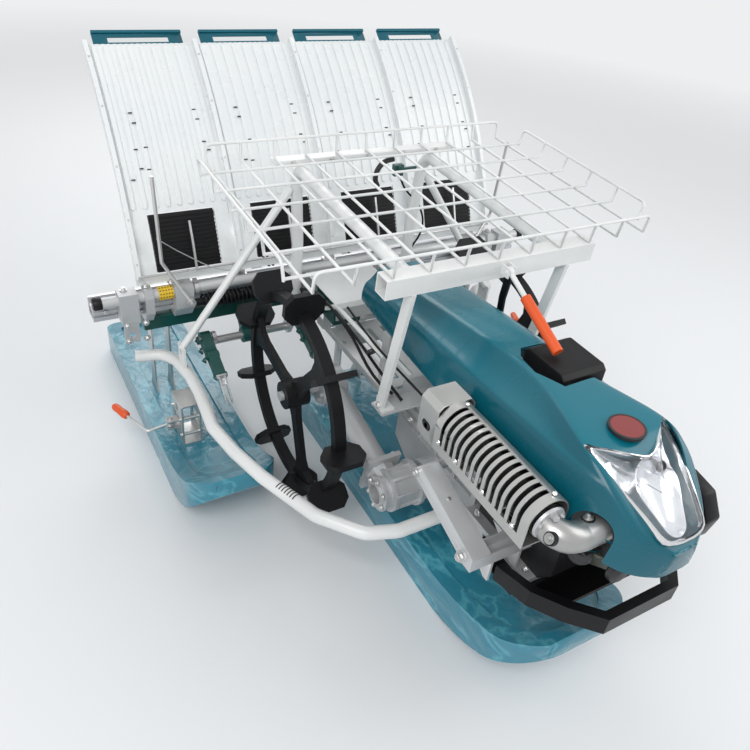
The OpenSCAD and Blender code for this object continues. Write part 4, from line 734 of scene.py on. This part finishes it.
# %% The lamp's outline, and the cuts
LAMP_MID = -95
lamp_frame = Matrix.Translation((0, LAMP_Y, HOOD_TOP)) @ Matrix.Rotation(LAMP_SLOPE, 4, "X")
lamp_right = [
    # across, up the slope, over the plane
    (0, -30, 0), (14, -27, 0), (38, -15, -4), (64, 2, -14), (86, 17, -27), (100, 28, -38), (106, 28, -40),
    (109, 20, -37), (106, 0, -30), (96, -40, -17), (83, -83, -7), (69, -130, 2), (58, -168, 7),
    (52, -180, 8), (42, -187, 8), (28, -191, 8), (14, -193, 8)]
lamp_outline = lamp_right + [(-x, y, z) for x, y, z in reversed(lamp_right[1:])]
filler_outline = [(-46, -622), (-22, -686), (104, -682), (104, -542), (-14, -536), (-38, -566)]
ELBOW_Y, ELBOW_Z, ELBOW_HOLE_R = -922, 574, 40


def lamp_ring(across, along, lift, flat=0.0):
    """The outline shrunk about its middle, its own height kept or flattened."""
    return [(x * across, LAMP_MID + (y - LAMP_MID) * along, z * (1 - flat) + lift)
            for x, y, z in lamp_outline]


def elbow_hole(bm):
    """A round hole for the elbow, open to the hood's lower edge."""
    add_drum(bm, (-200, ELBOW_Y, ELBOW_Z), LEFT, ELBOW_HOLE_R, 140, segments=40)
    add_block(bm, (-200, ELBOW_Y - ELBOW_HOLE_R, 490), (-60, ELBOW_Y + ELBOW_HOLE_R, ELBOW_Z))


cut(hood, lambda bm: prism(bm, [p[:2] for p in lamp_ring(0.975, 0.975, 0)], -70, 60, lamp_frame))
cut(hood, lambda bm: prism(bm, filler_outline, 620, 780))
cut(hood, elbow_hole)

# %% [markdown]
# ## The headlamp
# The lamp sits in a deep well of the hood. A reflector of bright metal stands in the well, with a long bowl
# in its middle, round above and narrower below, and ribs on both sides. Each wall is a loft: quads join one
# closed ring to the next, which follows the outline better than any turned or extruded shape.

# %% Well and reflector
ARC_STEPS = 14


def arc_points(cx, cy, r, start, end):
    turns = [math.radians(start + (end - start) * i / ARC_STEPS) for i in range(ARC_STEPS + 1)]
    return [(cx + r * math.cos(a), cy + r * math.sin(a)) for a in turns]


def capsule(high_r, low_r, z):
    """An outline of two arcs: a wide one above and a narrower one below."""
    upper = arc_points(0, -84, high_r, -12, 192)
    lower = arc_points(0, -156 + (50 - high_r) * 0.4, low_r, 192, 348)
    return [(x, y, z) for x, y in upper + lower]


def loft_rings(bm, rings, closed=True):
    """Quads join each ring of points to the next, and one face closes the last ring."""
    loops = [[bm.verts.new(p) for p in ring] for ring in rings]
    for one, two in zip(loops, loops[1:]):
        for corners in zip(one, one[1:] + one[:1], two[1:] + two[:1], two):
            bm.faces.new(corners)
    if closed:
        bm.faces.new(loops[-1])


def lamp_shell(name, finish, rings, closed=True, angle=30):
    """A wall through rings of (across, along, lift) or (across, along, lift, flat)."""
    bm = bmesh.new()
    loft_rings(bm, [lamp_ring(*ring) for ring in rings], closed)
    bmesh.ops.transform(bm, matrix=lamp_frame, verts=bm.verts)
    return as_piece(bm, name, finish, angle=angle)


def make_lamp_reflector():
    bm = bmesh.new()
    field = [(0.80, 0.90, -58, 1), (0.80, 0.90, -34, 1), (0.78, 0.88, -32, 1)]
    loft_rings(bm, [lamp_ring(*ring) for ring in field])
    bowl = [(51, 28, -33), (51, 28, -2), (49, 27, 0), (47, 26, -2), (44, 24, -9), (37, 20, -18),
            (27, 15, -25), (14, 8, -29)]
    loft_rings(bm, [capsule(*ring) for ring in bowl])
    for x in (-72, -62, 62, 72):
        add_block(bm, (x - 1.2, -66, -34), (x + 1.2, -20, -28))
    bmesh.ops.transform(bm, matrix=lamp_frame, verts=bm.verts)
    return as_piece(bm, "lamp_reflector", "lamp_mirror", angle=40)


well = lamp_shell("lamp_well", "teal_hood", [(0.985, 0.985, -3), (0.95, 0.95, -60, 1)])
print("made", well.name, "and", make_lamp_reflector().name)

# %% [markdown]
# A dark socket for the bulb stands on one side of the bowl. A thick bright edge frames the lamp, and a
# clear domed lens closes it: rings that shrink as they rise make the dome, and a Solidify modifier its
# thickness.

# %% Socket, edge and lens
LENS_WALL = 2


def make_lamp_socket():
    bm = bmesh.new()
    lean = (-0.75, -0.45, 0.5)
    add_drum(bm, (33, -54, -15), lean, 14, 5, segments=28)
    add_drum(bm, (30, -56, -13), lean, 6, 12, 4, 20)
    bmesh.ops.transform(bm, matrix=lamp_frame, verts=bm.verts)
    return as_piece(bm, "lamp_bulb", "black_plastic")


socket = make_lamp_socket()
rim_rings = [(1.0, 1.0, -5), (1.005, 1.005, 3), (0.985, 0.985, 7), (0.93, 0.945, 8), (0.92, 0.935, 4),
             (0.93, 0.945, -5)]
rim = lamp_shell("lamp_edge", "chrome", rim_rings, closed=False)
dome_rings = [(0.94, 0.95, 6), (0.86, 0.88, 10), (0.7, 0.74, 13), (0.45, 0.5, 15), (0.2, 0.25, 16)]
lens = lamp_shell("lamp_lens", "lamp_lens", dome_rings, angle=60)
lens_wall = lens.modifiers.new("wall", "SOLIDIFY")
lens_wall.thickness, lens_wall.offset = LENS_WALL * MM, -1
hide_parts("headlamp")
print("made", socket.name, rim.name, lens.name)

# %% [markdown]
# The red reflector in front of the lamp's tongue sits in a dark ring. The ring is turned: a wall with a lip
# that leans in over the disc.

# %% Ring of the red reflector
RING_R, LIP_R = 36.5, 31.755
bm = bmesh.new()
ring_profile = [(0, RING_R), (6, RING_R), (6.4, LIP_R)]
lathe(bm, (0, middle_of("reflector_disc").y, HOOD_TOP - 1), UP, ring_profile, 48, capped=False)
print("made", as_piece(bm, "reflector_ring", "black_plastic").name)

# %% [markdown]
# ## Fastenings
# Bolts sit where the photograph shows them. Each wheel arm has four in its flange and a circle of six at
# either end. They could be copied one by one, but directions taken from the arm itself keep them square to
# it, and what stands on the right side is mirrored to the left one.

# %% Bolts of the wheel arms
CIRCLE_R = 36
arm_root, wheel_axle = Vector((-216, -430, 254)), Vector((-216, -80, 330))
arm_run = (wheel_axle - arm_root).normalized()
arm_up = Vector((0, -arm_run.z, arm_run.y))
flange = arm_root + arm_run * 66


def mirrored(places):
    """The same bolts on the left side."""
    return [((-p[0], p[1], p[2]), (-n[0], n[1], n[2]), size) for p, n, size in places]


def bolt_circle(x, middle, first):
    """Six bolts that face right, round (y, z) of a point, the first one at an angle in degrees."""
    turns = [math.radians(first + 60 * i) for i in range(6)]
    places = [(x, middle.y + CIRCLE_R * math.cos(a), middle.z + CIRCLE_R * math.sin(a)) for a in turns]
    return [(place, RIGHT, 10) for place in places]


arm_bolts = [(flange + Vector((x, 0, 0)) + arm_up * h, arm_run, 13) for x in (-34, 36) for h in (-38, 38)]
arm_bolts += bolt_circle(-257, arm_root, 30) + bolt_circle(-255, wheel_axle, 0)
bolts("arm_bolts_right", "arm_right", arm_bolts)
bolts("arm_bolts_left", "arm_left", mirrored(arm_bolts))
print("bolts on each wheel arm:", len(arm_bolts))

# %% [markdown]
# The other bolts stand in rows, so a row is all that has to be written: the places that its bolts take
# along each axis, the direction that they face and the width of their heads.

# %% Bolts of the rail and the frame
def bolt_rows(along_x, along_y, along_z, direction, size):
    return [((x, y, z), direction, size) for x in along_x for y in along_y for z in along_z]


rail_bolts = (bolt_rows([-660, -610], [275], [350, 400], FRONT, 11)
              + bolt_rows([-650, -590, -520], [330], [481], UP, 12)
              + bolt_rows([-700, -380, -260, -60], [343], [412], FRONT, 9))
frame_bolts = (bolt_rows([-111], [-330, -240, -150, -60, 30, 250, 320], [365], RIGHT, 12)
               + bolt_rows([-212, -156], [222], [407], UP, 12)
               + bolt_rows([-129], [-820, -740, -650], [352], RIGHT, 10))
bolts("rail_bolts", "chassis", rail_bolts + mirrored(rail_bolts))
bolts("frame_bolts", "chassis", frame_bolts + mirrored(frame_bolts))
print("bolts on the rail and the frame:", 2 * len(rail_bolts + frame_bolts))

# %% [markdown]
# ## Exhaust
# The elbow is a bright casting with two round bosses, each in a dark ring. Small screws hold the slotted
# guard, a black oval opening shows at its rear box, and a ring of bolts closes the muffler's front end. The
# opening could be cut, but a thin dark drum looks the same from outside.

# %% Exhaust details
MUFFLER_X, MUFFLER_Z, MUFFLER_FRONT, END_BOLTS_R = -202, 596, -886, 27
elbow_bosses = [((-228, -919, 600), (-0.85, 0.0, 0.45)), ((-132, -912, 601), (0, 0.35, 0.92))]
bosses, boss_rings = bmesh.new(), bmesh.new()
for place, normal in elbow_bosses:
    place, normal = Vector(place), Vector(normal).normalized()
    add_drum(bosses, place - normal * 8, normal, 12, 11, 10, 28)
    add_bolt(bosses, place + normal * 3, normal, 9)
    add_drum(boss_rings, place - normal * 8, normal, 13, 9, 12.6, 28)
as_piece(bosses, "elbow_bosses", "cast_bright")
as_piece(boss_rings, "boss_rings", "black_paint")
guard_screws = (bolt_rows([-250], [-850, -760, -670, -610], [572], RIGHT, 7)
                + bolt_rows([-190], [-870, -604], [648], (0.1, 0, 1), 6))
bolts("guard_screws", "chassis", guard_screws, "chrome")

bm = bmesh.new()
add_drum(bm, (MUFFLER_X, MUFFLER_FRONT, MUFFLER_Z), FRONT, 36, 5, 34, 36)
for turn in range(20, 380, 72):
    across, up = END_BOLTS_R * math.cos(math.radians(turn)), END_BOLTS_R * math.sin(math.radians(turn))
    add_bolt(bm, (MUFFLER_X + across, MUFFLER_FRONT - 4, MUFFLER_Z + up), FRONT, 8)
add_drum(bm, (MUFFLER_X, MUFFLER_FRONT - 4, MUFFLER_Z + 24), (-0.3, -1, 0.2), 8, 14, 6, 20)
as_piece(bm, "muffler_end", "cast_alu")
bm = bmesh.new()
for y in (-556, -562):
    add_drum(bm, (-248.4, y, 576), RIGHT, 9, 1.2, 8.4)
as_piece(bm, "guard_opening", "dark_hole")
print("exhaust dressed, with", len(guard_screws), "guard screws")

# %% [markdown]
# ## Side arms
# Each bent sheet arm is held by three bolts of different sizes: one on its lower end, one farther back and
# one that leans with the sheet.

# %% Side arms' bolts
side_arm_bolts = [((-265, -764, 397), RIGHT, 16), ((-263, -574, 460), RIGHT, 12),
                  ((-236, -660, 448), (0, -0.4, 0.9), 10)]
bolts("side_arm_bolts", "chassis", side_arm_bolts + mirrored(side_arm_bolts))
print("bolts on each side arm:", len(side_arm_bolts))

# %% [markdown]
# ## Grips
# Each handle has a ribbed rubber grip with a flange. Rings could be stacked on a cylinder, but a turned
# profile gives the flange, the grooves and the rounded end in one skin, and only the fine ribs are added as
# drums.

# %% Handle grips
HANDLE_X, GRIP_R, GROOVES = 300, 18, 14
grip_low, grip_high = box_mm("handle_grips")
grip_z = middle_of("handle_grips").z


def grip_profile(length, r, grooves):
    profile = [(0, r + 6), (5, r + 6.6), (7, r + 2), (10, r)]
    step = (length - 24) / grooves
    for start in (11 + i * step for i in range(grooves)):
        groove = ((0, r), (0.2, r - 1.4), (0.4, r - 1.4), (0.6, r))
        profile += [(start + step * share, ring_r) for share, ring_r in groove]
    return profile + [(length - 8, r), (length - 2, r - 2), (length, r - 6)]


rubbers, ribs = bmesh.new(), bmesh.new()
for x in (-HANDLE_X, HANDLE_X):
    lathe(rubbers, (x, grip_low.y, grip_z), BACK, grip_profile(grip_high.y - grip_low.y, GRIP_R, GROOVES))
    for i in range(10):
        add_drum(ribs, (x, grip_low.y + 11 + i * 10, grip_z), BACK, GRIP_R + 0.4, 3, segments=32)
grips = as_piece(rubbers, "handle_rubbers", "black_rubber")
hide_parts("handle_grips")
as_piece(ribs, "handle_ribs", "black_rubber")
print("grips:", len(grips.data.polygons), "faces")

# %% [markdown]
# The side markers end in orange grips, swollen in the middle, and a black cap closes each end of the rail's
# tube. Both are turned too.

# %% Marker grips and tube caps
side_grip_profile = [(0, 8), (3, 11), (14, 12.4), (34, 11.2), (51, 11.3), (59, 10.1), (64, 6.5), (66, 4)]
tube = middle_of("rail_tube")
for side, name in SIDES:
    bm = bmesh.new()
    low, high = Vector((side * 706, 190, 160)), Vector((side * 731, 255, 160))
    lathe(bm, low, high - low, side_grip_profile)
    as_piece(bm, "side_grip_" + name, "orange_grip", "side_" + name, 40)
bm = bmesh.new()
for side in (-1, 1):
    lathe(bm, (side * 712, tube.y, tube.z), (side, 0, 0), [(0, 17), (2, 18), (20, 18), (24, 15)], 32)
as_piece(bm, "tube_caps", "black_rubber", angle=40)
print("marker grips and caps added")

# %% [markdown]
# ## Rail
# The rail's tube carries clamp rings and, on the right, a yellow gauge with rows of holes: a short sleeve
# of twelve flats with dark dots on it. A rubber bellows covers the feed shaft below. Its folds are one long
# coil, since a rod wound closely round the shaft gives the same outline as folded rubber.

# %% Gauge, clamps and bellows
GAUGE_X, GAUGE_R, GAUGE_LENGTH = -560, 19.5, 41
COIL_X, COIL_R, COIL_ADVANCE, COIL_TURN, COIL_STEPS = -440, 20, 1.5, 0.785, 190
bm = bmesh.new()
gauge_profile = [(0, 18), (1, GAUGE_R), (GAUGE_LENGTH - 1, GAUGE_R), (GAUGE_LENGTH, 18)]
lathe(bm, (GAUGE_X, tube.y, tube.z), LEFT, gauge_profile, 12)
as_piece(bm, "feed_gauge", "yellow_tape", angle=20)
bm = bmesh.new()
for i in range(5):
    for turn in (100, 130, 160, 190):
        normal = Vector((0, math.cos(math.radians(turn)), math.sin(math.radians(turn))))
        place = Vector((GAUGE_X + 4 + i * 8, tube.y, tube.z)) + normal * (GAUGE_R - 0.5)
        add_drum(bm, place, normal, 1.8, 0.9, segments=10)
as_piece(bm, "gauge_holes", "dark_hole", angle=20)

bm = bmesh.new()
for x in (-500, -460, 460, 500):
    lathe(bm, (x, tube.y, tube.z), LEFT, [(0, 17), (1, 21), (13, 21), (14, 17)], 32)
    add_block(bm, (x + 1, tube.y - 10, tube.z + 18), (x + 13, tube.y + 10, tube.z + 26))
as_piece(bm, "tube_clamps", "zinc")
shaft = middle_of("feed_shaft")
turns = [(COIL_X + i * COIL_ADVANCE, i * COIL_TURN) for i in range(COIL_STEPS)]
coil = [(x, shaft.y + COIL_R * math.cos(a), shaft.z + COIL_R * math.sin(a)) for x, a in turns]
cable("feed_bellows", coil, 7, smooth=False)
print("bellows length in mm:", round(coil[-1][0] - coil[0][0]))

# %% [markdown]
# ## Planting arms
# The arms' housings are green castings, and the claws that pick the seedlings are bare steel. The claws are
# the part of each arm that lies farthest forward, so its faces there take a second finish. Round covers
# with a bolt in each close the housings.

# %% Steel claws, cast covers
CLAW_BACK = 128
COVERS = ((4, 13), (40, 11), (72, 9))  # distance along the arm, radius
arm_pin, arm_tip = Vector((0, 264, 318)), Vector((0, 62, 222))
arm_line = (arm_tip - arm_pin).normalized()


def second_finish(piece_name, finish, test):
    """Faces whose middle, in millimetres, passes the test take another finish."""
    mesh = bpy.data.objects[piece_name].data
    mesh.materials.append(finishes[finish])
    chosen = [face for face in mesh.polygons if test(face.center / MM)]
    for face in chosen:
        face.material_index = 1
    print(piece_name, "faces in", finish + ":", len(chosen))


for side, name in SIDES:
    second_finish(f"planting_arms_{name}_dressed", "steel_bright", lambda c: c.y < CLAW_BACK)
    bm = bmesh.new()
    outward = Vector((side, 0, 0))
    for x in (453, 147):
        for along, r in COVERS:
            middle = outward * x + arm_pin + arm_line * along
            add_drum(bm, middle + outward * 18, outward, r, 5, r - 2)
            add_bolt(bm, middle + outward * 23, outward, 7)
    as_piece(bm, "planting_covers_" + name, "green_cast", "planters_" + name)

# %% [markdown]
# ## Stage
# The lanes are pressed sheet. Short dark slots are punched through it in pairs, and a rounded knob closes
# each rib at both ends. Booleans could cut the slots, but thin dark blocks that follow the sheet look the
# same. All of them lie on the sheet's curve, an arc about a centre behind and below the stage.

# %% The stage's curve
STAGE_R, STAGE_SLOPE, STAGE_ARC, SHEET = 1137, 72, 33.5, 5
STAGE_FACETS = 12
LANES = (-450, -150, 150, 450)
stage_low = Vector((0, 367, 466))
slope = math.radians(STAGE_SLOPE)
stage_mid = stage_low + Vector((0, STAGE_R * math.sin(slope), -STAGE_R * math.cos(slope)))


def stage_normal(angle):
    """The direction out of the sheet, so many degrees up its arc."""
    turn = math.radians(90 + STAGE_SLOPE - angle)
    return Vector((0, math.cos(turn), math.sin(turn)))


def on_stage(x, angle, height):
    """A point over the sheet, whose arc is made of flat facets."""
    facet_r = STAGE_R * math.cos(math.radians(STAGE_ARC / STAGE_FACETS / 2))
    return stage_mid + Vector((x, 0, 0)) + stage_normal(angle) * (facet_r + height)


def stage_block(bm, x, angle, size, height):
    """A small block lying on the stage: size is across, along and thick."""
    across, normal = Vector((1, 0, 0)), stage_normal(angle)
    turn = Matrix((across, normal.cross(across), normal)).transposed().to_4x4()
    place = Matrix.Translation(on_stage(x, angle, height))
    bmesh.ops.create_cube(bm, size=1, matrix=place @ turn @ Matrix.Diagonal((*size, 1)))


print("the stage's foot is at", tuple(round(v) for v in on_stage(0, 0, 0)))

# %% [markdown]
# Every lane has the same twelve slots, nine ribs and eighteen small teeth along its top edge. Rivets hold
# the walls between the lanes.

# %% Slots, rib ends and rivets
RIBS, RIB_PITCH, TEETH, TOOTH_PITCH = 9, 288 / 9, 18, 15.6
slots = [
    # across from the lane's middle, degrees up the arc
    (-80, 23.2), (-76, 21.8), (96, 23.2), (100, 21.8), (-88, 18.2), (-60, 18.4), (104, 18.6), (112, 17.4),
    (-84, 15.6), (-64, 15.4), (-112, 14.2), (110, 14.4)]
bm = bmesh.new()
for lane in LANES:
    for x, angle in slots:
        stage_block(bm, lane + x, angle, (11, 3.4, 0.8), SHEET + 5.2)
as_piece(bm, "stage_slots", "dark_hole", "stage")
bm = bmesh.new()
for lane in LANES:
    for i in range(RIBS):
        for angle in (STAGE_ARC - 0.75, 10.5):
            place = on_stage(lane + (i - (RIBS - 1) / 2) * RIB_PITCH, angle, SHEET - 1)
            add_drum(bm, place, stage_normal(angle), 6.5, 6.2, 5.4, 20)
    for i in range(TEETH):
        across = lane + (i - (TEETH - 1) / 2) * TOOTH_PITCH
        stage_block(bm, across, STAGE_ARC - 0.15, (9, 5, 3), SHEET + 0.6)
as_piece(bm, "rib_ends", "stage_white", "stage")
bm = bmesh.new()
for wall in (-600, -300, 0, 300, 600):
    for angle in (3, 9, 16, 24, 31):
        add_drum(bm, on_stage(wall, angle, SHEET + 19.6), stage_normal(angle), 3.6, 1.6, 3.0, 14)
as_piece(bm, "wall_rivets", "zinc", "stage")
print("slots on the stage:", len(slots) * len(LANES))

# %% [markdown]
# ## Wires, cables and hoses
# The control cables leave the console, run down the handlebars and pass under the stage to the gear case. A
# fuel hose and a plug lead cross the engine. A physics run could drape them, but real ones are led by
# clips, so each is a cable on a given route.

# %% Cables
cable_runs = {
    # name: finish, diameter, points
    "clutch_cable": ("black_rubber", 8, [
        (-60, 925, 690), (-90, 900, 610), (-150, 760, 500), (-150, 600, 400), (-148, 470, 372),
        (-146, 370, 366), (-148, 290, 368), (-156, 262, 392), (-158, 238, 436), (-166, 150, 482),
        (-172, 60, 505), (-170, -80, 500), (-166, -260, 470), (-150, -330, 440)]),
    "lift_cable": ("black_rubber", 8, [
        (0, 930, 700), (-60, 880, 600), (-130, 740, 480), (-132, 590, 388), (-132, 470, 372),
        (-132, 370, 366), (-134, 290, 368), (-146, 264, 388), (-168, 240, 434), (-182, 150, 492),
        (-188, 60, 522), (-186, -100, 512), (-176, -270, 452), (-158, -300, 440)]),
    "depth_cable": ("black_rubber", 7, [
        (60, 930, 700), (100, 880, 600), (150, 740, 480), (150, 590, 395), (146, 470, 374), (144, 370, 366),
        (146, 290, 368), (148, 264, 392), (146, 248, 424), (144, 200, 458), (144, 110, 486), (156, -60, 480),
        (156, -150, 455), (150, -240, 436)]),
    "white_hose": ("white_plastic", 12, [
        (-165, -250, 520), (-178, -120, 536), (-172, 0, 520), (-166, 60, 480), (-160, 120, 452)]),
    "throttle_cable": ("black_rubber", 6, [
        (-158, -40, 540), (-170, -200, 536), (-166, -360, 530), (-160, -500, 528), (-150, -620, 528),
        (-98, -700, 520)]),
    "plug_lead": ("black_rubber", 8, [
        (20, -952, 560), (30, -972, 545), (0, -985, 528), (-50, -960, 512), (-86, -930, 500),
        (-98, -880, 470)]),
    "fuel_hose": ("black_rubber", 7, [
        (105, -600, 552), (125, -640, 520), (130, -700, 470), (120, -780, 440), (104, -820, 420)]),
    "marker_wire": ("zinc", 3, [(-559, 288, 640), (-470, 320, 560), (-380, 330, 500), (-300, 332, 480)]),
}
for side, name in SIDES:
    run = [(HANDLE_X, 1215, 830), (292, 1130, 800), (250, 980, 650), (150, 940, 655)]
    cable_runs["grip_cable_" + name] = ("black_rubber", 7, [(side * x, y, z) for x, y, z in run])
for name, (finish, width, points) in cable_runs.items():
    made = cable(name, points, width, finish)
    print(name, "length in mm:", round(made.data.splines[0].calc_length() / MM))

# %% [markdown]
# Black ties hold the cables together at three places. Under each grip hangs a bent rod, the lever that the
# hand pulls, and a clamp on the handle carries it.

# %% Cable ties and grip levers
LEVER_X = 286
bm = bmesh.new()
for place in ((-150, 680, 440), (150, 680, 440), (-168, -200, 500)):
    lathe(bm, place, (0, 1, 0.7), [(0, 13), (1, 14), (8, 14), (9, 13)], 20)
as_piece(bm, "cable_ties", "black_plastic")
for side, name in SIDES:
    bends = [(LEVER_X, 1180, 838), (270, 1200, 812), (276, 1270, 806), (284, 1330, 812)]
    cable("grip_lever_" + name, [(side * x, y, z) for x, y, z in bends], 9, "black_paint")
bm = bmesh.new()
for side in (-1, 1):
    lathe(bm, (side * HANDLE_X, 1168, grip_z), BACK, [(0, 15), (1, 19), (24, 19), (25, 15)], 24)
    add_block(bm, (side * LEVER_X - 8, 1170, 822), (side * LEVER_X + 8, 1192, 840))
as_piece(bm, "lever_clamps", "black_plastic")
print("ties, levers and clamps added")

# %% [markdown]
# ## Engine
# The engine's right side shows a carburettor with its bowl, cast fins and small screws. The carburettor is
# three turned bodies on a plate: its bowl, its throat and the air horn in front.

# %% Carburettor, screws and fins
HEAD_FRONT = -953
bm = bmesh.new()
lathe(bm, (-118, -915, 522), (0, 0, -1), [(0, 19), (2, 23), (26, 23), (36, 15), (41, 8)], 24)
lathe(bm, (-104, -915, 534), RIGHT, [(0, 17), (14, 17), (16, 22), (24, 22), (27, 13)], 24)
lathe(bm, (-80, -965, 500), FRONT, [(0, 20), (4, 24), (16, 24), (22, 17), (24, 8)], 24)
add_block(bm, (-136, -940, 524), (-98, -890, 531))
as_piece(bm, "carburettor", "black_plastic")
bolts("engine_screws", "chassis", bolt_rows([-70, -30, 10, 40], [HEAD_FRONT], [588, 536], FRONT, 9))
bm = bmesh.new()
for z in range(530, 585, 9):
    add_block(bm, (-88, HEAD_FRONT - 3, z), (52, HEAD_FRONT + 3, z + 3))
as_piece(bm, "head_fins", "black_plastic")
print("right side of the engine dressed")

# %% [markdown]
# On the left side hang the air cleaner and the handle of the recoil starter. The cleaner's box is an
# extruded outline with broken edges, which suits a moulded box better than a plain block, and a snout leads
# inwards.

# %% Air cleaner and recoil handle
FROM_SIDE = Matrix(((0, 0, 1, 0), (1, 0, 0, 0), (0, 1, 0, 0), (0, 0, 0, 1)))  # (y, z) outline, thick along x
AIR_BOX_LEFT = 166
air_box = [(-900, 604), (-958, 594), (-990, 548), (-980, 490), (-940, 474), (-896, 486)]
snout = [(-972, 500), (-912, 496), (-912, 476), (-960, 470)]
bm = bmesh.new()
prism(bm, air_box, 126, AIR_BOX_LEFT, FROM_SIDE)
break_edges(bm, bm.edges[:], 5, 2)
prism(bm, snout, 96, 130, FROM_SIDE)
for y, z in ((-915, 588), (-950, 494)):
    add_bolt(bm, (AIR_BOX_LEFT, y, z), LEFT, 8)
as_piece(bm, "air_cleaner", "black_paint")
bm = bmesh.new()
lathe(bm, (150, -690, 462), LEFT, [(0, 9), (3, 12), (12, 12), (15, 8)], 20)
add_block(bm, (160, -712, 458), (172, -668, 468))
as_piece(bm, "recoil_handle", "black_plastic")
print("left side of the engine dressed")

# %% [markdown]
# ## Rack and guard
# Bolts tie the rack's wires to their bracket and its legs to the machine. Seven short slots are cut round
# the guard tube: each is a short line spun through 80 degrees, just outside the tube's skin.

# %% Rack bolts and guard slots
SLOT_WIDTH, SLOT_R, SLOT_FIRST, SLOT_TURN = 3.2, 17.4, math.radians(50), math.radians(80)
rack_side_bolts = [((-217, -330, 446), UP, 12), ((-535, 218, 322), LEFT, 12)]
rack_bolts = bolt_rows([-220, -110, 0, 110, 220], [195], [849], FRONT, 8)
bolts("rack_bolts", "chassis", rack_bolts + rack_side_bolts + mirrored(rack_side_bolts))
slot_start, slot_run = Vector((-449, -379, 262)), Vector((-65, 165, 0)).normalized()
across_tube = slot_run.cross(Vector(UP))
reach = (across_tube * math.cos(SLOT_FIRST) + Vector(UP) * math.sin(SLOT_FIRST)) * SLOT_R
for side, name in SIDES:
    bm = bmesh.new()
    for i in range(7):
        middle = slot_start + slot_run * (i * 9)
        ends = [bm.verts.new(middle + reach + slot_run * half) for half in (-SLOT_WIDTH / 2, SLOT_WIDTH / 2)]
        line = [bm.edges.new(ends)]
        bmesh.ops.spin(bm, geom=ends + line, cent=middle, axis=-slot_run, angle=SLOT_TURN, steps=8)
    if side > 0:
        bmesh.ops.scale(bm, vec=(-1, 1, 1), verts=bm.verts)
    as_piece(bm, "guard_slots_" + name, "dark_hole", angle=60)
print("rack bolts:", len(rack_bolts) + 2 * len(rack_side_bolts))

# %% [markdown]
# ## Small parts behind the rack
# Seen through the rack are a curved black lever with its dark green latch and a flat black stay beside the
# hood. The lever is a bent rod, so it is made as the cables are. The centre pole is painted white down to
# its orange grip.

# %% Lever, latch and stay
POLE_PAINT_END = -476
second_finish("center_pole_dressed", "white_paint", lambda c: c.y > POLE_PAINT_END)
cable("stop_lever", [(64, 236, 740), (52, 232, 765), (55, 230, 790), (76, 230, 812), (104, 230, 818)], 15,
      "black_plastic")
bm = bmesh.new()
add_block(bm, (108, 222, 768), (138, 240, 800))
add_drum(bm, (123, 221, 790), FRONT, 9, 5, 8, 20)
add_block(bm, (136, 224, 778), (184, 234, 790))
break_edges(bm, bm.edges[:], 1.2, 2)
as_piece(bm, "lever_latch", "green_cast")
cable("latch_cable", [(123, 228, 782), (150, 226, 730), (214, 226, 662), (236, 228, 590), (214, 240, 520),
                      (180, 250, 470)], 6)
stay_outline = [(-292, 722), (-268, 724), (-262, 640), (-270, 540), (-296, 434), (-318, 434), (-290, 545),
                (-283, 640)]
bm = bmesh.new()
prism(bm, stay_outline, 150, 158, FROM_SIDE)
break_edges(bm, bm.edges[:], 1, 1)
as_piece(bm, "side_stay", "black_paint")
print("small parts behind the rack added")
